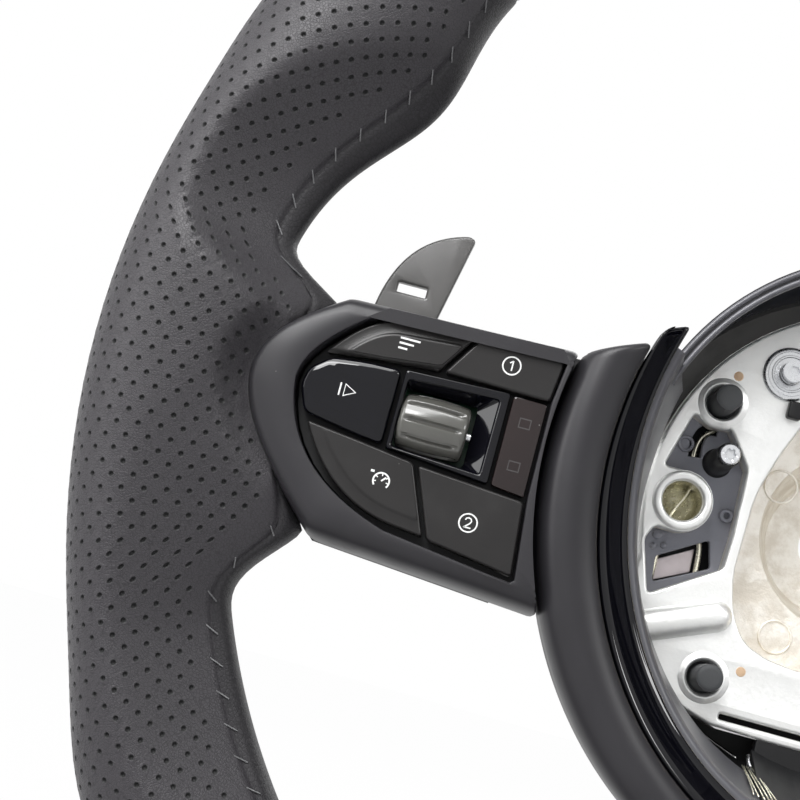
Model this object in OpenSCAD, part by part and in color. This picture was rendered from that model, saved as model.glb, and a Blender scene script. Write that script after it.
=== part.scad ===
// Sport steering wheel, three spokes, airbag recess open, millimetres.
// +Z is 12 o'clock, +X is right and +Y runs down the column, away from the driver.
// The origin is the centre of the hub bore at the hub's rear face.

/* [Rim] */
// Diameter of the ring that the grip is centred on
rim_ring_d = 334.4; // [326:1:344]
// Thickness of the grip
grip_d = 35.6; // [34:0.2:37]
// Thickness of the leather
leather_t = 1.4; // [1:0.1:2]
// Thickness of the armature ring inside the foam
ring_d = 11; // [9:1:13]
// How far the thumb rests stand inwards
thumb_rest = 10.7; // [4:0.5:13]

/* [Hub] */
// Distance from the hub's rear face to the middle plane of the rim
dish = 95; // [90:1:100]
// Diameter of the bore that takes the column shaft
bore_d = 17.2; // [15:0.2:19]
// Outer diameter of the hub boss
boss_d = 31.8; // [28:0.2:36]
// Length of the hub boss
boss_l = 20; // [16:1:24]
// Diameter of the casting plate
plate_d = 110; // [104:1:114]
// Thickness of the casting plate
plate_t = 6; // [5:0.5:8]
// Diameter of the holes for the airbag's locating pins
pin_hole_d = 9.8; // [8:0.2:11]

/* [Trim] */
// Wall thickness of the plastic shells
wall = 2; // [1.6:0.1:2.6]
// Width of the gap round each cover and key
gap = 0.4; // [0.3:0.05:0.6]
// Outer diameter of the rear cover
cover_d = 126.4; // [124:1:130]

/* [Keys] */
// Travel of the push keys
key_travel = 1.2; // [0.8:0.1:1.4]
// Diameter of the key stems
stem_d = 4; // [3:0.2:4.6]
// Diameter of the thumb rollers
roller_d = 13; // [11:0.5:14]
// Length of the thumb rollers
roller_l = 15; // [12:0.5:15.6]
// Diameter of the roller axles
axle_d = 2; // [1.6:0.1:2.4]

/* [Paddles] */
// Thickness of the shift paddles
paddle_t = 3; // [2:0.2:3.6]
// Diameter of the paddle pins
paddle_pin_d = 3; // [2.4:0.2:3.6]

/* [Hidden] */
$fn = 48;
left = 0;
right = 1;
ring_r = rim_ring_d / 2;
grip_r = grip_d / 2;
running = 0.05;
big = 400;
rim_sides = 16;
fine_step = 2.75;
side_from = 140;
side_to = 222.5;
leather = "#2c2a2f";
matte = "#222226";
satin = "#2e2e33";
gloss = "#0b0b12";
cast = "#c9cbcc";
grey = "#85868a";
steel = "#b9bbbf";

// Helpers: the depth y is measured from the rim's middle plane, positive to the rear
function ramp(a, b, x) = let(t = min(1, max(0, (x - a) / (b - a)))) t * t * (3 - 2 * t);
function hump(centre, width, x) = exp(-pow((x - centre) / width, 2));
function bend(p, c, q, n) = [for (i = [0:n]) let(t = i / n)
    [for (k = [0:1]) (1 - t) * (1 - t) * p[k] + 2 * t * (1 - t) * c[k] + t * t * q[k]]];
function flip_x(points) = [for (i = [len(points) - 1:-1:0]) [-points[i][0], points[i][1]]];

module at_rim() translate([0, -dish, 0]) children();
module slab(y0, y1) translate([0, y1, 0]) rotate([90, 0, 0]) linear_extrude(y1 - y0) children();
module turned() rotate([90, 0, 0]) rotate_extrude($fn = 96) children();
module rod_y(x, z, y0, y1, r) translate([x, y1, z]) rotate([90, 0, 0]) cylinder(h = y1 - y0, r = r);
module rod_x(x0, x1, y, z, r) translate([x0, y, z]) rotate([0, 90, 0]) cylinder(h = x1 - x0, r = r);
module block(x0, x1, y0, y1, z0, z1) translate([x0, y0, z0]) cube([x1 - x0, y1 - y0, z1 - z0]);
module on_side(side) mirror([side, 0, 0]) at_rim() children();
// A spoke is drawn outwards in: its x runs from the rim's ring towards the hub
module in_spoke(side) on_side(side) translate([-ring_r, 0, 0]) children();

// Rim: a grip whose section changes with the clock angle, 90 at the top, 180 at the left
function left_angle(th) = let(t = (th + 360) % 360) (t > 90 && t < 270) ? t : 180 - (t >= 270 ? t - 360 : t);
function grip_out(a) = grip_r + 3 * hump(152, 8, a) + 4.6 * hump(214, 8, a);
function spoke_flare(a) = pow(ramp(169, 174.5, a), 2) * pow(1 - ramp(195, 203, a), 2);
function lower_flare(a) = pow(ramp(253, 260, a), 2);
function grip_in(a) = grip_r - 0.6 + thumb_rest * hump(152.8, 9.4, a)
    + 17 * spoke_flare(a) + 12 * lower_flare(a);
facet_depth = [[90, 24], [138, 30], [146, 25], [152, 20.8], [158, 15], [165, 10.4], [170, 10.6], [173, 13],
    [176, 22], [178, 24.2], [181, 21.5], [188.6, 17.5], [196, 14.8], [203, 11.2], [212, 11.8], [222, 16], [236, 24]];
facet_tilt = [[90, 125], [146, 138], [152, 132.7], [158, 123], [165, 117], [173, 116], [176, 126], [178, 130],
    [181, 125], [188.6, 103], [196, 107], [203, 115], [212, 118], [270, 120]];
crease = 2;
function rim_point(th, phi, inset) = let(
    a = left_angle(th),
    u = cos(phi) * ((cos(phi) > 0 ? grip_out(a) : grip_in(a)) - inset),
    v = sin(phi) * (grip_r - inset),
    tilt = lookup(a, facet_tilt),
    e = u * cos(tilt) + v * sin(tilt) - lookup(a, facet_depth) - grip_r + 17.8 + inset,
    push = (e + sqrt(e * e + crease * crease)) / 2,
    r = ring_r + u - push * cos(tilt))
    [r * cos(th), -(v - push * sin(tilt)), r * sin(th)];
function rim_ring(th, inset) = [for (k = [0:rim_sides - 1]) rim_point(th, 360 * k / rim_sides, inset)];
function tube_faces(n, from, flipped) = [for (i = [0:n - 2], k = [0:rim_sides - 1]) let(
    a = from + i * rim_sides + k, b = from + i * rim_sides + (k + 1) % rim_sides)
    each flipped ? [[a, b, b + rim_sides], [a, b + rim_sides, a + rim_sides]]
        : [[a, b + rim_sides, b], [a, a + rim_sides, b + rim_sides]]];
function end_faces(o, i, flipped) = [for (k = [0:rim_sides - 1]) let(
    n = (k + 1) % rim_sides)
    each flipped ? [[o + k, i + n, o + n], [o + k, i + k, i + n]]
        : [[o + k, o + n, i + n], [o + k, i + n, i + k]]];
function angles(from, to, count) = [for (i = [0:count]) from + (to - from) * i / count];
side_count = round((side_to - side_from) / fine_step);
left_angles = angles(side_from, side_to, side_count);
right_angles = [for (i = [side_count:-1:0]) 540 - left_angles[i]];
top_angles = angles(180 - side_from, side_from, 14);
bottom_angles = concat(angles(side_to, 252, 4), angles(255, 285, 10), angles(288, 540 - side_to, 4));

module sleeve(list) {
    n = len(list);
    inner = n * rim_sides;
    polyhedron(points = concat([for (th = list) each rim_ring(th, 0)], [for (th = list) each rim_ring(th, leather_t)]),
        faces = concat(tube_faces(n, 0, true), tube_faces(n, inner, false),
            end_faces(0, inner, true), end_faces((n - 1) * rim_sides, inner + (n - 1) * rim_sides, false)));
}

// The outline of a side spoke's cover; ends draws in the rim end, sides the long edges
spoke_top = 16;
spoke_end = 94;
function spoke_outline(ends, sides) = concat(
    bend([36, spoke_top - sides], [18.4 + ends, 5], [18.4 + ends, -5], 8),
    bend([18.4 + ends, -5], [18.4 + ends, -17], [40.5, -37 + sides], 8),
    [[spoke_end, -41 + sides], [spoke_end, 17.5 - sides]]);
lower_half = 30;
lower_top = -78;
function lower_outline(ends, sides) = let(z0 = -ring_r + 21 + ends, w = lower_half - sides) concat(
    bend([-w, z0 + 8], [-w + 4, z0], [-w + 14, z0], 5),
    bend([w - 14, z0], [w - 4, z0], [w, z0 + 8], 5),
    [[w + 5, lower_top], [-w - 5, lower_top]]);

module spoke_notches(grow) {
    for (side = [left, right])
        in_spoke(side) slab(-40, 40) polygon(spoke_outline(-grow, -grow));
    at_rim() slab(-40, 40) polygon(lower_outline(-grow, -grow));
}

// Casting: ring, three arms, hub plate with its cut-outs, deep centre and boss
plate_y = 37;
arm_y = 7.5;
arm_t = 4.5;
arm_top = 2;
arm_bottom = -22;
arm_root = -50;
lower_arm_w = 28;
well_wall = 1.12;
socket_r = 5.2;
centre_outline = [[-9, -35.2], [-17, -34.4], [-23.6, -32], [-27.6, -25.6], [-29.5, -17], [-29.2, -9],
    [-28.8, 3], [-25.3, 14], [-21, 24], [-13, 31]];
function whole(points) = concat(points, flip_x(points));
boss_hole = [-45.5, -2.9];
boss_ring_r = 7.4;
buffer_places = [[-41.6, 22.8], [-30.7, -42.4]];
disc_place = [-27.6, 33.7];
screw_place = [-38.5, 9.2];

module arm_profile(knee) polygon([
    [-ring_r, 0], [-ring_r + 20, arm_y], [-84, arm_y], [arm_root - knee, plate_y + 1], [arm_root, plate_y],
    [arm_root, plate_y + plate_t], [arm_root - knee - 2, plate_y + plate_t], [-86, arm_y + arm_t],
    [-ring_r + 30, arm_y + arm_t], [-ring_r, 4]]);
module arms() {
    for (side = [left, right])
        on_side(side) translate([0, 0, arm_bottom]) linear_extrude(arm_top - arm_bottom) arm_profile(6);
    at_rim() rotate([0, 90, 0]) translate([0, 0, -lower_arm_w / 2]) linear_extrude(lower_arm_w)
        mirror([1, 0]) arm_profile(14);
}

module cutout_outline() {
    difference() {
        polygon([[-47.5, 18.7], [-43, 16.7], [-38.1, 17], [-32.1, 8.5], [-31.8, -8], [-32.3, -16.3],
            [-48.3, -26.5], [-52, -14], [-52, 4.6]]);
        translate(boss_hole) circle(r = boss_ring_r);
        translate([-60, boss_hole[1] - boss_ring_r]) square([60 + boss_hole[0], 2 * boss_ring_r]);
    }
}
module plate_outline() {
    circle(d = plate_d, $fn = 96);
    polygon([[-36.6, -40], [-36.6, -48], [-31.9, -51.3], [-25, -53.2], [25, -53.2], [31.9, -51.3], [36.6, -48],
        [36.6, -40]]);
}
shelf_y = 54;
floor_y = dish - boss_l;
module armature() {
    color(cast) difference() {
        union() {
            at_rim() turned() translate([ring_r, 0]) circle(d = ring_d);
            arms();
            at_rim() slab(plate_y, plate_y + plate_t) plate_outline();
            // Deep centre: straight wall, then a shelf and the funnel down to the boss
            at_rim() slab(plate_y + 1, shelf_y + 3) polygon([for (p = whole(centre_outline)) p * well_wall]);
            translate([0, -dish + shelf_y, 0]) rotate([-90, 0, 0])
                cylinder(h = floor_y - shelf_y + 4, r1 = 27, r2 = boss_d / 2 + 5);
            rod_y(0, 0, -boss_l, 0, boss_d / 2);
            for (side = [left, right])
                on_side(side) {
                    slab(plate_y - 1, plate_y + 2) translate(boss_hole) circle(r = boss_ring_r);
                    for (p = buffer_places) rod_y(p[0], p[1], plate_y - 1, plate_y + plate_t + 2, socket_r);
                    rod_y(disc_place[0], disc_place[1], plate_y - 2, plate_y + 2, 4);
                    bead();
                }
        }
        at_rim() slab(plate_y - 1, shelf_y) polygon(whole(centre_outline));
        translate([0, -dish + shelf_y - 0.01, 0]) rotate([-90, 0, 0])
            cylinder(h = floor_y - shelf_y + 0.01, r1 = 23, r2 = boss_d / 2 + 1.5);
        rod_y(0, 0, -boss_l - 8, 1, bore_d / 2);
        for (side = [left, right])
            on_side(side) {
                slab(plate_y - 5, plate_y + plate_t + 10) cutout_outline();
                rod_y(boss_hole[0], boss_hole[1], plate_y - 5, plate_y + plate_t + 10, pin_hole_d / 2);
                for (p = buffer_places) rod_y(p[0], p[1], plate_y - 5, plate_y + 4, 4.2);
                rod_y(disc_place[0], disc_place[1], plate_y - 5, plate_y + 3, 1.6);
            }
        at_rim() block(-25, 25, plate_y - 5, plate_y + plate_t + 5, -50.9, -49.5);
    }
}
module bead() intersection() {
    union() {
        translate([-31.2, plate_y, -27.6]) rotate([0, -22.5, 0]) rotate([0, -90, 0]) cylinder(h = 30, r = 3.7);
        translate([-31.2, plate_y, -27.6]) sphere(r = 3.7);
    }
    rod_y(0, 0, plate_y - 8, plate_y + 2, plate_d / 2 - 1);
}

module rim_foam() {
    color("#3a3a3a") difference() {
        at_rim() polyhedron_ring();
        at_rim() turned() translate([ring_r, 0]) circle(d = ring_d);
        arms();
        spoke_notches(gap);
    }
}
foam_angles = concat(left_angles, [for (i = [1:len(bottom_angles) - 1]) bottom_angles[i]],
    [for (i = [1:len(right_angles) - 1]) right_angles[i]], [for (i = [1:len(top_angles) - 2]) 360 + top_angles[i]]);
module polyhedron_ring() {
    n = len(foam_angles);
    total = n * rim_sides;
    polyhedron(points = [for (th = foam_angles) each rim_ring(th, leather_t + 0.05)],
        faces = [for (i = [0:n - 1], k = [0:rim_sides - 1]) let(
            a = i * rim_sides + k, b = i * rim_sides + (k + 1) % rim_sides,
            c = (a + rim_sides) % total, d = (b + rim_sides) % total)
            each [[a, b, d], [a, d, c]]]);
}

module leather_panel(list) color(leather) difference() {
    at_rim() sleeve(list);
    spoke_notches(gap);
}
module leather_left() leather_panel(left_angles);
module leather_right() leather_panel(right_angles);
module leather_top() leather_panel(top_angles);
module leather_bottom() leather_panel(bottom_angles);

// Trim bands round the airbag recess: ellipses in the wheel's plane, [half width, half height, centre z]
matte_edge = [82.3, 86, -4];
split_edge = [67.5, 76.3, -2];
gloss_edge = [60.4, 73, 2];
band_steps = 36;
function on_edge(edge, beta, r) = [-(edge[0] + r) * cos(beta), edge[2] - (edge[1] + r) * sin(beta)];
module edge_area(edge, grow) polygon([for (i = [0:71]) on_edge(edge, i * 5, grow)]);
// A band is swept round the U: its section holds [share across, depth], first edge at 0, second at 1
module band(edge_a, edge_b, top_a, top_b, section) {
    m = len(section);
    function station(i) = let(
        pa = on_edge(edge_a, -top_a + (180 + 2 * top_a) * i / band_steps, 0),
        pb = on_edge(edge_b, -top_b + (180 + 2 * top_b) * i / band_steps, 0))
        [for (s = section) let(p = pa + (pb - pa) * s[0]) [p[0], s[1], p[1]]];
    last = band_steps * m;
    polyhedron(points = [for (i = [0:band_steps]) each station(i)],
        faces = concat(
            [for (i = [0:band_steps - 1], k = [0:m - 1]) let(a = i * m + k, b = i * m + (k + 1) % m)
                each [[a, b, b + m], [a, b + m, a + m]]],
            [[for (k = [m - 1:-1:0]) k], [for (k = [0:m - 1]) last + k]]));
}
module bezel_matte() color(matte) at_rim()
    band(matte_edge, split_edge, 14, 19.5,
        [[0.012, -4], [0.03, -6.5], [0.12, -9.5], [0.3, -11.6], [0.55, -12.2], [0.8, -11.2], [0.985, -8.6],
            [0.985, 4], [0.012, 4]]);
module bezel_gloss() color(gloss) at_rim()
    band(split_edge, gloss_edge, 19.5, 20.5,
        [[0.02, -7.8], [0.14, -8.2], [0.86, -3], [0.99, -1.6], [0.99, 4], [0.02, 4]]);

shroud_r = plate_d / 2 + 1.6;
rear_front_y = 10;
rear_mid_y = 44;
rear_back_y = 84;
rear_hole_r = 36;
module shroud_shape(edge, y0, r, y1, grow) {
    // A U-shaped wall from an ellipse at the front to a circle round the casting
    m = 4;
    function station(i) = let(beta = -17 + 214 * i / band_steps,
        f0 = on_edge(edge, beta, 0), f1 = on_edge(edge, beta, grow),
        d = [-cos(beta), -sin(beta)])
        [[f1[0], y0, f1[1]], [f0[0], y0, f0[1]], [d[0] * r, y1, d[1] * r], [d[0] * (r + grow), y1, d[1] * (r + grow)]];
    last = band_steps * m;
    polyhedron(points = [for (i = [0:band_steps]) each station(i)],
        faces = concat(
            [for (i = [0:band_steps - 1], k = [0:m - 1]) let(a = i * m + k, b = i * m + (k + 1) % m)
                each [[a, b, b + m], [a, b + m, a + m]]],
            [[for (k = [m - 1:-1:0]) k], [for (k = [0:m - 1]) last + k]]));
}
carrier_y0 = 4;
carrier_y1 = 6;
module bezel_carrier() color(matte) difference() {
    at_rim() band([matte_edge[0] - 2.5, matte_edge[1] - 2.5, matte_edge[2]], gloss_edge, 12, 17,
        [[0, carrier_y0], [1, carrier_y0], [1, carrier_y1], [0, carrier_y1]]);
    at_rim() for (side = [left, right])
        mirror([side, 0, 0]) block(-big, -ring_r + spoke_end + 1, -20, 20, -60, 30);
}
shroud_t = 1.6;
tray_w = lower_arm_w + 4;
module side_windows(y0) for (side = [left, right])
    on_side(side) block(-big, -40, y0, 60, arm_bottom - 4, arm_top + 11);
module lower_window(w) at_rim() block(-w / 2, w / 2, 0, 60, -big, -40);
module hub_shroud() color(grey) difference() {
    at_rim() shroud_shape(gloss_edge, carrier_y1, shroud_r, plate_y + 3, shroud_t);
    side_windows(plate_y - 3);
    lower_window(tray_w);
    at_rim() slab(plate_y - gap, 60) offset(delta = gap) plate_outline();
    at_rim() block(-big, big, 0, 60, 18.6, 40);
}
module lower_tray() color("#17171a") difference() {
    intersection() {
        at_rim() shroud_shape(gloss_edge, carrier_y1, shroud_r, plate_y + 3, shroud_t);
        lower_window(tray_w - 0.2);
    }
    at_rim() block(-big, big, plate_y - gap, 60, -big, big);
}
module bezel_back() color(matte) difference() {
    at_rim() shroud_shape([matte_edge[0] - 2.5, matte_edge[1] - 2.5, matte_edge[2]], carrier_y1,
        cover_d / 2 - wall, rear_mid_y, wall);
    lower_window(lower_arm_w + 2);
    at_rim() for (side = [left, right])
        mirror([side, 0, 0]) block(-big, -40, -20, 60, -43, 30);
    at_rim() slab(0, 40) polygon(lower_outline(-gap, -gap));
}
module rear_cover() color(matte) difference() {
    at_rim() turned() polygon([
        [cover_d / 2 - wall, -rear_front_y], [cover_d / 2, -rear_front_y], [cover_d / 2, -rear_mid_y - 8],
        [cover_d / 2 - 12, -rear_back_y + 2], [cover_d / 2 - 14, -rear_back_y], [rear_hole_r, -rear_back_y],
        [rear_hole_r, -rear_back_y + wall], [cover_d / 2 - 15, -rear_back_y + wall],
        [cover_d / 2 - wall, -rear_mid_y - 8 + 0.5]]);
    at_rim() block(-big, big, -20, rear_mid_y, -big, 19);
    side_windows(0);
    lower_window(lower_arm_w + 4);
}

// Side spokes
cover_y1 = 5;
module recess_outline(grow) polygon(concat(
    bend([45, 14.2 + grow], [29.2 - grow, 3.5], [29.2 - grow, -5], 6),
    bend([29.2 - grow, -5], [31.5 - grow, -25], [56, -32 - grow], 8),
    [[86, -35.8 - grow], [86, 15.4 + grow]]));
module spoke_cover(side) color(matte) in_spoke(side) difference() {
    hull() {
        slab(-12, -11.9) polygon(spoke_outline(2.5, 4.5));
        slab(-11, -10.9) polygon(spoke_outline(1, 2));
        slab(-8, -7.9) polygon(spoke_outline(0, 0.6));
        slab(-4, cover_y1) polygon(spoke_outline(0, 0));
    }
    slab(-20, cover_y1 + 1) recess_outline(0);
    translate([ring_r, 0, 0]) slab(-20, carrier_y0) edge_area(matte_edge, gap);
    translate([ring_r, 0, 0]) block(-ring_r + 86, 0, -20, cover_y1 + 1, -34, 14);
}
back_y1 = 16.5;
module spoke_back(side) color(matte) in_spoke(side) difference() {
    hull() {
        slab(cover_y1 + 1.6, cover_y1 + 4) polygon(spoke_outline(0, 0));
        slab(back_y1 - 0.1, back_y1) polygon(spoke_outline(4, 5));
    }
    hull() {
        slab(cover_y1, cover_y1 + 4) polygon(spoke_outline(wall, wall));
        slab(back_y1 - wall - 0.1, back_y1 - wall) polygon(spoke_outline(4 + wall, 5 + wall));
    }
    translate([ring_r, 0, 0]) block(-ring_r - 20, -ring_r + 40, 0, arm_y + arm_t + gap, arm_bottom - gap, arm_top + gap);
    block(spoke_end - 12, spoke_end + 5, 0, 30, -60, 30);
}

// Lower spoke
module lower_spoke_cover() color(matte) at_rim() difference() {
    hull() {
        slab(-11.5, -11.4) polygon(lower_outline(2.5, 4.5));
        slab(-9, -8.9) polygon(lower_outline(0.6, 1.2));
        slab(-5, cover_y1) polygon(lower_outline(0, 0));
    }
    hull() {
        slab(-8, -7.9) polygon(lower_outline(3.5, 5));
        slab(-4, cover_y1 + 1) polygon(lower_outline(wall, wall));
    }
    slab(-20, carrier_y1 + gap) edge_area(matte_edge, gap);
}
module lower_spoke_back() color(matte) at_rim() difference() {
    hull() {
        slab(cover_y1, cover_y1 + 3) polygon(lower_outline(0, 0));
        slab(back_y1 - 0.1, back_y1) polygon(lower_outline(4, 5));
    }
    hull() {
        slab(cover_y1 - 1, cover_y1 + 3) polygon(lower_outline(wall, wall));
        slab(back_y1 - wall - 0.1, back_y1 - wall) polygon(lower_outline(4 + wall, 5 + wall));
    }
    block(-14 - gap, 14 + gap, 0, arm_y + arm_t + gap, -ring_r - 20, -ring_r + 40);
    block(-60, 60, 0, 40, -92, -60);
}

// Keys, in spoke coordinates
key_front = -11;
key_back = -7;
deck_y0 = -5.4;
deck_t = 1.4;
board_y0 = 1.6;
roller_place = [60.4, -6, -7.4];
upper_outer = concat(bend([33.9, 2.2], [40.5, 12], [48, 12.9], 5), [[65, 14.2], [58.7, 4.5], [46, 3.6]]);
upper_inner = [[66, 14.3], [82.6, 14.5], [84.4, 12.6], [83.4, 4], [59.8, 4.5]];
lower_outer = concat(bend([33.9, -13.2], [42, -28.5], [57, -30.4], 6), [[64.4, -31.2], [58.4, -16.2], [46, -14.6]]);
lower_inner = [[59.5, -16.5], [65.5, -31.6], [84.8, -34.4], [83.4, -18.3]];
resume = [[35.4, 1.4], [31.2, -2], [30.4, -6], [32.6, -11.6], [45, -13.6], [50.8, -14.2], [50.8, 2.6], [43, 2.4]];
rocker = [[75.6, 3.3], [83, 3.2], [83, -17.4], [75.6, -16.6]];

module key(outline, stem) {
    difference() {
        hull() {
            slab(key_front, key_front + 0.01) offset(delta = -1.1) polygon(outline);
            slab(key_front + 0.7, key_back) polygon(outline);
        }
        slab(key_back - 2, key_back + 1) offset(delta = -1.2) polygon(outline);
    }
    rod_y(stem[0], stem[1], key_back - 2.5, -2.6, stem_d / 2);
}
stems = [[50.5, 8.6], [73, 9], [51.5, -21.5], [73.5, -25.5], [40.8, -6]];
module key_upper_outer(side) color(satin) in_spoke(side) key(upper_outer, stems[0]);
module key_upper_inner(side) color(satin) in_spoke(side) key(upper_inner, stems[1]);
module key_lower_outer(side) color(satin) in_spoke(side) key(lower_outer, stems[2]);
module key_lower_inner(side) color(satin) in_spoke(side) key(lower_inner, stems[3]);
module key_resume(side) color(gloss) in_spoke(side) key(resume, stems[4]);

rocker_pin = [79.4, -4.6, -7.1];
module key_rocker(side) color(gloss) in_spoke(side) difference() {
    union() {
        hull() {
            slab(key_front, key_front + 0.01) offset(delta = -0.5) polygon(rocker);
            slab(key_front + 0.5, key_back - 0.6) polygon(rocker);
        }
        block(rocker_pin[0] - 1.8, rocker_pin[0] + 1.8, key_back - 1, rocker_pin[1] + 1.8, rocker_pin[2] - 2, rocker_pin[2] + 2);
    }
    rod_x(rocker_pin[0] - 5, rocker_pin[0] + 5, rocker_pin[1], rocker_pin[2], 0.8 + running);
}

module roller(side) color(satin) in_spoke(side) translate(roller_place) difference() {
    rotate([0, 90, 0]) rotate_extrude() polygon([
        [axle_d / 2 + running, -roller_l / 2], [roller_d / 2 - 1.1, -roller_l / 2], [roller_d / 2 - 0.5, -roller_l / 2 + 0.9],
        [roller_d / 2, -2.5], [roller_d / 2, 2.5], [roller_d / 2 - 0.5, roller_l / 2 - 0.9],
        [roller_d / 2 - 1.1, roller_l / 2], [axle_d / 2 + running, roller_l / 2]]);
    for (i = [0:9])
        rotate([36 * i, 0, 0]) translate([-roller_l / 2 + 1.6, -0.55, roller_d / 2 - 0.9]) cube([roller_l - 3.2, 1.1, 2]);
}
module roller_axle(side) color(steel) in_spoke(side)
    rod_x(51.9, 69.3, roller_place[1], roller_place[2], axle_d / 2);
frame_outline = [[51.7, 2.8], [74.8, 3.6], [74.8, -16.6], [51.7, -14.6]];
module roller_frame(side) color(gloss) in_spoke(side) difference() {
    union() {
        hull() {
            slab(key_front, key_front + 0.01) offset(delta = -0.4) polygon(frame_outline);
            slab(key_front + 0.4, key_back) polygon(frame_outline);
        }
        for (x = [51.7, 68.8])
            block(x, x + 0.8, key_back - 1, deck_y0, roller_place[2] - 2, roller_place[2] + 2);
    }
    block(52.5, 68.8, -20, 0, roller_place[2] - roller_d / 2 - 0.45, roller_place[2] + roller_d / 2 + 0.45);
    rod_x(50, 72, roller_place[1], roller_place[2], axle_d / 2);
}

module switch_housing(side) color("#1b1b1d") in_spoke(side) difference() {
    union() {
        slab(deck_y0, deck_y0 + deck_t) housing_area(gap);
        difference() {
            slab(deck_y0, cover_y1) housing_area(gap);
            slab(deck_y0 + deck_t, cover_y1 + 1) housing_area(gap + 1.2);
        }
        difference() {
            slab(cover_y1, cover_y1 + 1.6) housing_area(-2.4);
            slab(cover_y1 - 1, cover_y1 + 2) housing_area(gap + 1.2);
        }
        for (s = stems) rod_y(s[0], s[1], deck_y0, deck_y0 + 2.2, stem_d / 2 + 0.35 + 0.9);
        for (x = [rocker_pin[0] - 3.3, rocker_pin[0] + 2.2])
            block(x, x + 1.1, rocker_pin[1] - 1.4, deck_y0 + 2.2, rocker_pin[2] - 1.6, rocker_pin[2] + 1.6);
    }
    translate([ring_r, 0, 0]) slab(-20, carrier_y0 + gap) edge_area(matte_edge, gap);
    for (s = stems) rod_y(s[0], s[1], deck_y0 - 1, deck_y0 + 4, stem_d / 2 + 0.35);
    block(51.5, 69.8, -20, 2, roller_place[2] - roller_d / 2 - 0.6, roller_place[2] + roller_d / 2 + 0.6);
    difference() {
        block(rocker_pin[0] - 2.1, rocker_pin[0] + 2.1, -20, deck_y0 + 6, rocker_pin[2] - 3, rocker_pin[2] + 3);
        rod_x(rocker_pin[0] - 3, rocker_pin[0] + 3, rocker_pin[1], rocker_pin[2], 0.8);
    }
}
module housing_area(inset) offset(delta = -inset) recess_outline(0);
module switch_board(side) color("#1f5a38") in_spoke(side) {
    slab(board_y0, board_y0 + 1.6) housing_area(gap + 1.3);
    for (s = stems) rod_y(s[0], s[1], -2.6 + key_travel + 0.3, board_y0, 1.8);
}

// Parts on the casting plate
backing_y = plate_y + plate_t;
module contact_plate(side) color("#333338") on_side(side) difference() {
    union() {
        slab(backing_y, backing_y + 2) offset(delta = 2) cutout_hull();
        rod_y(screw_place[0], screw_place[1], backing_y - 4, backing_y, 3.1);
        rod_y(-33.6, -3, backing_y - 1.5, backing_y, 1.5);
    }
    slab(backing_y, backing_y + 3) polygon([for (p = whole(centre_outline)) p * (well_wall + 0.02)]);
    for (p = buffer_places) rod_y(p[0], p[1], backing_y - 1, backing_y + 3, socket_r + gap);
    rod_y(screw_place[0], screw_place[1], backing_y - 5, backing_y + 1, 1.1);
    rod_y(boss_hole[0], boss_hole[1], backing_y - 1, backing_y + 3, pin_hole_d / 2 + 0.6);
    slab(backing_y - 1, backing_y + 3) polygon([[-47.4, -17], [-36, -10.2], [-34.4, -16.3], [-46.8, -22.8]]);
    slab(backing_y - 1, backing_y + 3) polygon([[-46, 12], [-44.6, 16.6], [-40, 16.8], [-42, 11.6]]);
}
module cutout_hull() polygon([[-47.5, 18.7], [-38.1, 17], [-32.1, 8.5], [-31.8, -8], [-32.3, -16.3],
    [-48.3, -26.5], [-51, -14], [-51, 4.6]]);

// A wire of square section, mitred at its bends
wire_w = 1.5;
function left_of(d) = [-d[1], d[0]] / norm(d);
function ribbon(p, w) = let(
    m = len(p) - 1,
    n = [for (i = [0:m]) let(
        a = left_of(p[max(1, i)] - p[max(1, i) - 1]),
        b = left_of(p[min(m, i + 1)] - p[min(m, i + 1) - 1]))
        (a + b) / (1 + a * b)])
    concat([for (i = [0:m]) p[i] + w / 2 * n[i]], [for (i = [m:-1:0]) p[i] - w / 2 * n[i]]);
module retaining_spring(side) color("#cfc8b4") on_side(side) slab(backing_y + 2, backing_y + 2 + wire_w) {
    polygon(ribbon([[-40.5, 17.6], [-43.6, 15], [-44.4, 10], [-43.4, 3], [-46.4, -5], [-46.6, -24]], wire_w));
    polygon(ribbon([[-43.6, -8], [-38.6, -11], [-37.6, -20]], wire_w));
}

module buffers() color("#3b3b40") for (side = [left, right], p = buffer_places)
    on_side(side) difference() {
        union() {
            rod_y(p[0], p[1], 27, plate_y + 4, 3.1);
            rod_y(p[0], p[1], plate_y + 2.6, plate_y + 4, 4.2);
        }
        block(p[0] - 2.4, p[0] + 2.4, 26, 27.4, p[1] - 0.25, p[1] + 0.25);
    }
module plated_discs() color(steel) for (side = [left, right])
    on_side(side) translate([disc_place[0], plate_y - 2, disc_place[1]]) turned() polygon([
        [1.7, 0], [6.4, 0], [6.6, 0.6], [6.6, 2.4], [6, 3], [4.6, 3], [4.2, 2.4], [1.7, 2.4]]);
module screws() color(steel) for (side = [left, right])
    on_side(side) {
        screw(disc_place, plate_y - 4.4, 2.6, 1.5, 4.9);
        screw(screw_place, backing_y - 4, 2.2, 1, 4);
    }
module screw(place, seat_y, head_r, shank_r, length) difference() {
    union() {
        rod_y(place[0], place[1], seat_y - 1.6, seat_y, head_r);
        rod_y(place[0], place[1], seat_y, seat_y + length, shank_r);
    }
    rod_y(place[0], place[1], seat_y - 2, seat_y - 0.8, head_r * 0.55, $fn = 6);
}
module lower_clip() color(steel) at_rim() {
    block(-14.5, -8, plate_y - 0.8, plate_y, -55, -49.8);
    block(-14.5, -8, plate_y - 7, plate_y - 0.8, -55, -54.2);
    block(-14.5, -8, plate_y - 0.8, plate_y + plate_t + 2, -50.6, -49.8);
}

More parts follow.
